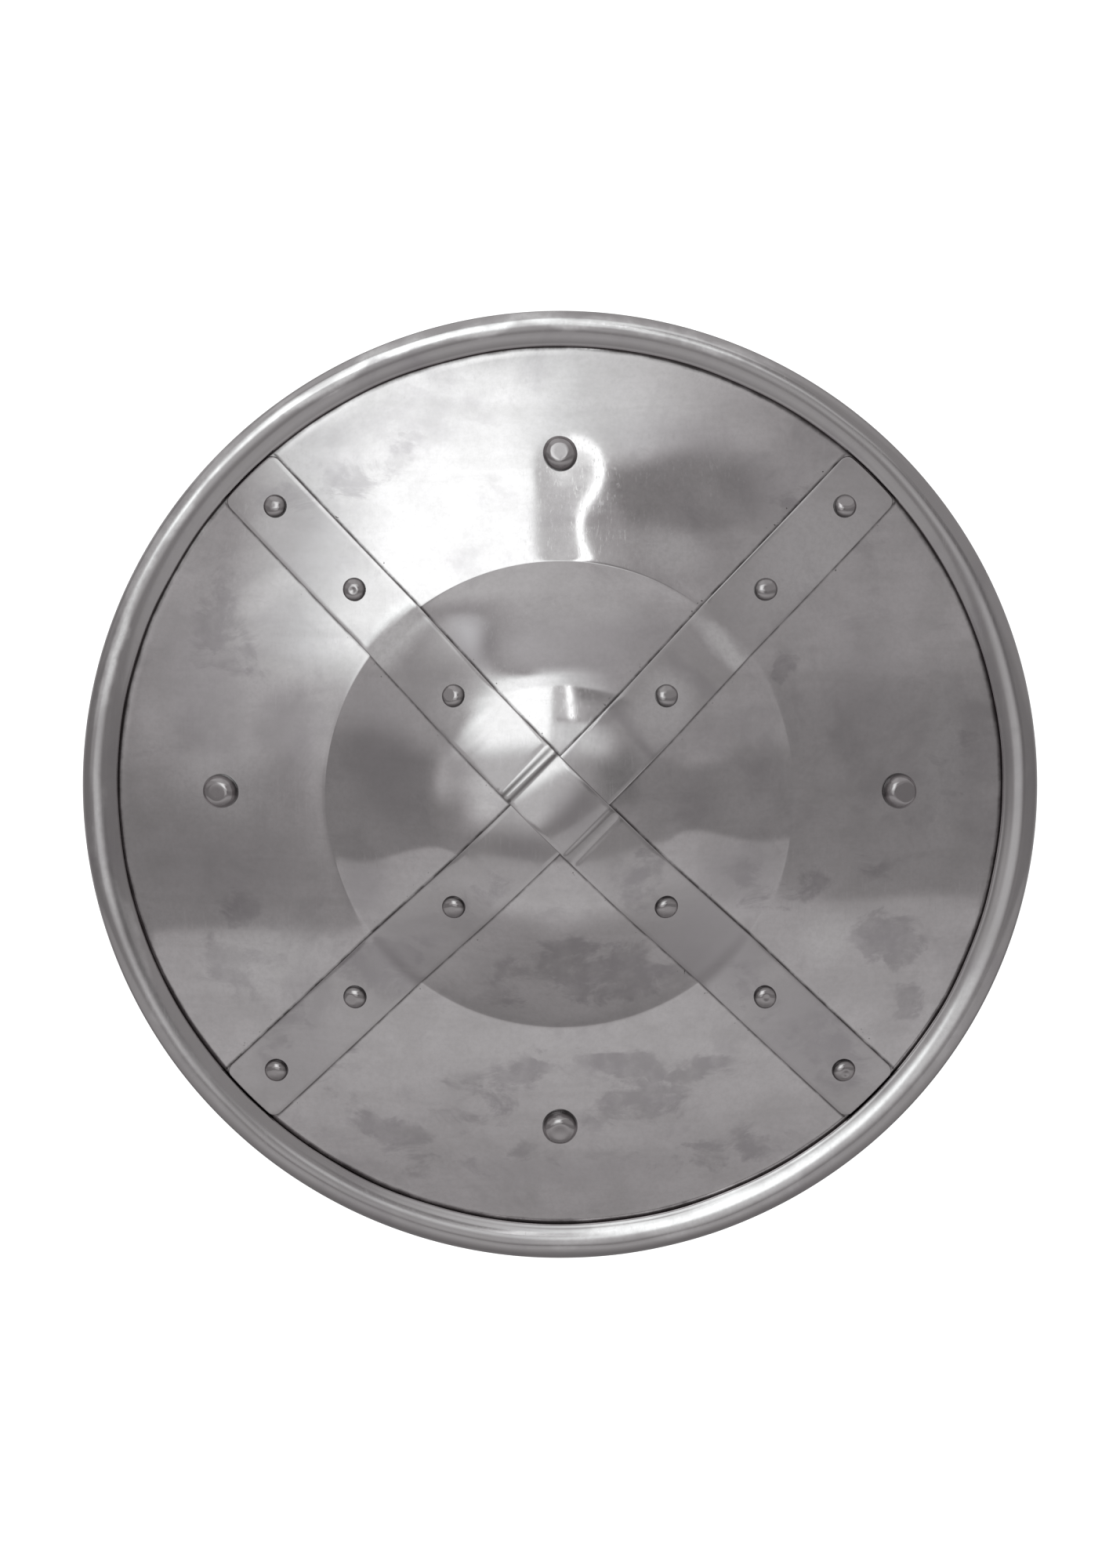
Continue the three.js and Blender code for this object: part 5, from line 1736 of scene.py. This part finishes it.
def add_floor():
    half = FLOOR_SIZE / 2
    corners = [(-half, -half), (half, -half), (half, half), (-half, half)]
    nodes = Nodes(bpy.data.materials.new("floor"))
    nodes.shade("Base Color", FLOOR_COLOUR)
    nodes.shade("Roughness", 1.0)
    nodes.shade("Specular IOR Level", 0.0)
    nodes.shade("Emission Color", WHITE)
    nodes.shade("Emission Strength", nodes.math("MULTIPLY", seen(nodes), FLOOR_GLOW))
    add_stage_mesh("floor", [(x, y, FLOOR_HEIGHT) for x, y in corners], [(0, 1, 2, 3)], nodes.owner)


def blend(first, second, share):
    return first + (second - first) * share


def past(azimuth, edge, reach):
    return smooth_step((np.abs(azimuth) - edge) / reach)


def inside(value, low, high, soft_low, soft_high):
    return smooth_step((value - low) / soft_low + 0.5) * smooth_step((high - value) / soft_high + 0.5)


def tent_glow(azimuth, elevation):
    """How bright the tent is towards azimuths and elevations."""
    glow = blend(WALL_GLOW, SIDE_GLOW, past(azimuth, *SIDE))
    glow = blend(glow, BACK_GLOW, past(azimuth, *BACK))
    edge = FLOOR_EDGE - FLOOR_LEAN * np.clip(azimuth / FLOOR_LEAN_REACH, -1, 1)
    floor = np.interp(-elevation, FLOOR_DOWN, FLOOR_GLOWS)
    floor = floor * (1 - FLOOR_SIDE_LOSS * np.clip(np.abs(azimuth) / FLOOR_SIDE, 0, 1))
    floor = blend(floor, BACK_FLOOR_GLOW, past(azimuth, *BACK_FLOOR))
    glow = blend(glow, floor, smooth_step((-elevation - edge) / FLOOR_SOFTNESS))
    for left, right, soft_left, soft_right, low, high, soft_low, soft_high, level in TENT_CARDS:
        share = inside(azimuth, left, right, soft_left, soft_right)
        glow = blend(glow, level, share * inside(elevation, low, high, soft_low, soft_high))
    return glow


def tent_material():
    """Shines as bright as the mesh's glow says, a little cooler where it is bright."""
    nodes = Nodes(bpy.data.materials.new("tent"))
    nodes.tree.nodes.remove(nodes.shader)
    nodes.shader = nodes.add("ShaderNodeEmission")
    glow = nodes.attribute("glow")
    nodes.shade("Strength", glow)
    nodes.shade("Color", nodes.mix(nodes.ramp(glow, WALL_GLOW, 1.0, kind="LINEAR"), DIM_TINT, BRIGHT_TINT))
    nodes.link(nodes.shader.outputs["Emission"], nodes.tree.nodes["Material Output"].inputs["Surface"])
    return nodes.owner


def add_tent():
    """A tent all round, seen only in reflections, with a flat bottom over the floor."""
    azimuths = np.concatenate([
        np.arange(-180, TENT_LEFT, TENT_LEFT_STEP),
        np.arange(TENT_LEFT, TENT_RIGHT, TENT_STEP / 2),
        np.linspace(TENT_RIGHT, 180, TENT_RIGHT_COUNT),
    ])
    elevations = np.concatenate([
        np.arange(-90, TENT_LOW, TENT_LOW_STEP),
        np.arange(TENT_LOW, TENT_HIGH, TENT_STEP),
        np.linspace(TENT_HIGH, 90, TENT_HIGH_COUNT),
    ])
    azimuth, elevation = (grid.ravel() for grid in np.meshgrid(azimuths, elevations))
    points = directions(azimuth, elevation)
    down = np.minimum(points[:, 2:], TENT_BOTTOM / TENT_RADIUS)
    points = points * TENT_BOTTOM / down
    faces = grid_faces(len(elevations), len(azimuths), wrap_columns=False)
    tent = add_stage_mesh("tent", points.tolist(), faces, tent_material())
    glows = tent_glow(azimuth, elevation).astype(np.float32)
    tent.data.attributes.new("glow", "FLOAT", "POINT").data.foreach_set("value", glows)
    for way in ("camera", "diffuse", "transmission", "volume_scatter", "shadow"):
        setattr(tent, f"visible_{way}", False)


add_camera()
add_world()
add_floor()
add_tent()
for lamp_name, lamp_azimuth, lamp_elevation in LAMPS:
    add_lamp(lamp_name, lamp_azimuth, lamp_elevation)

view = bpy.context.scene.view_settings
view.view_transform = "Standard"
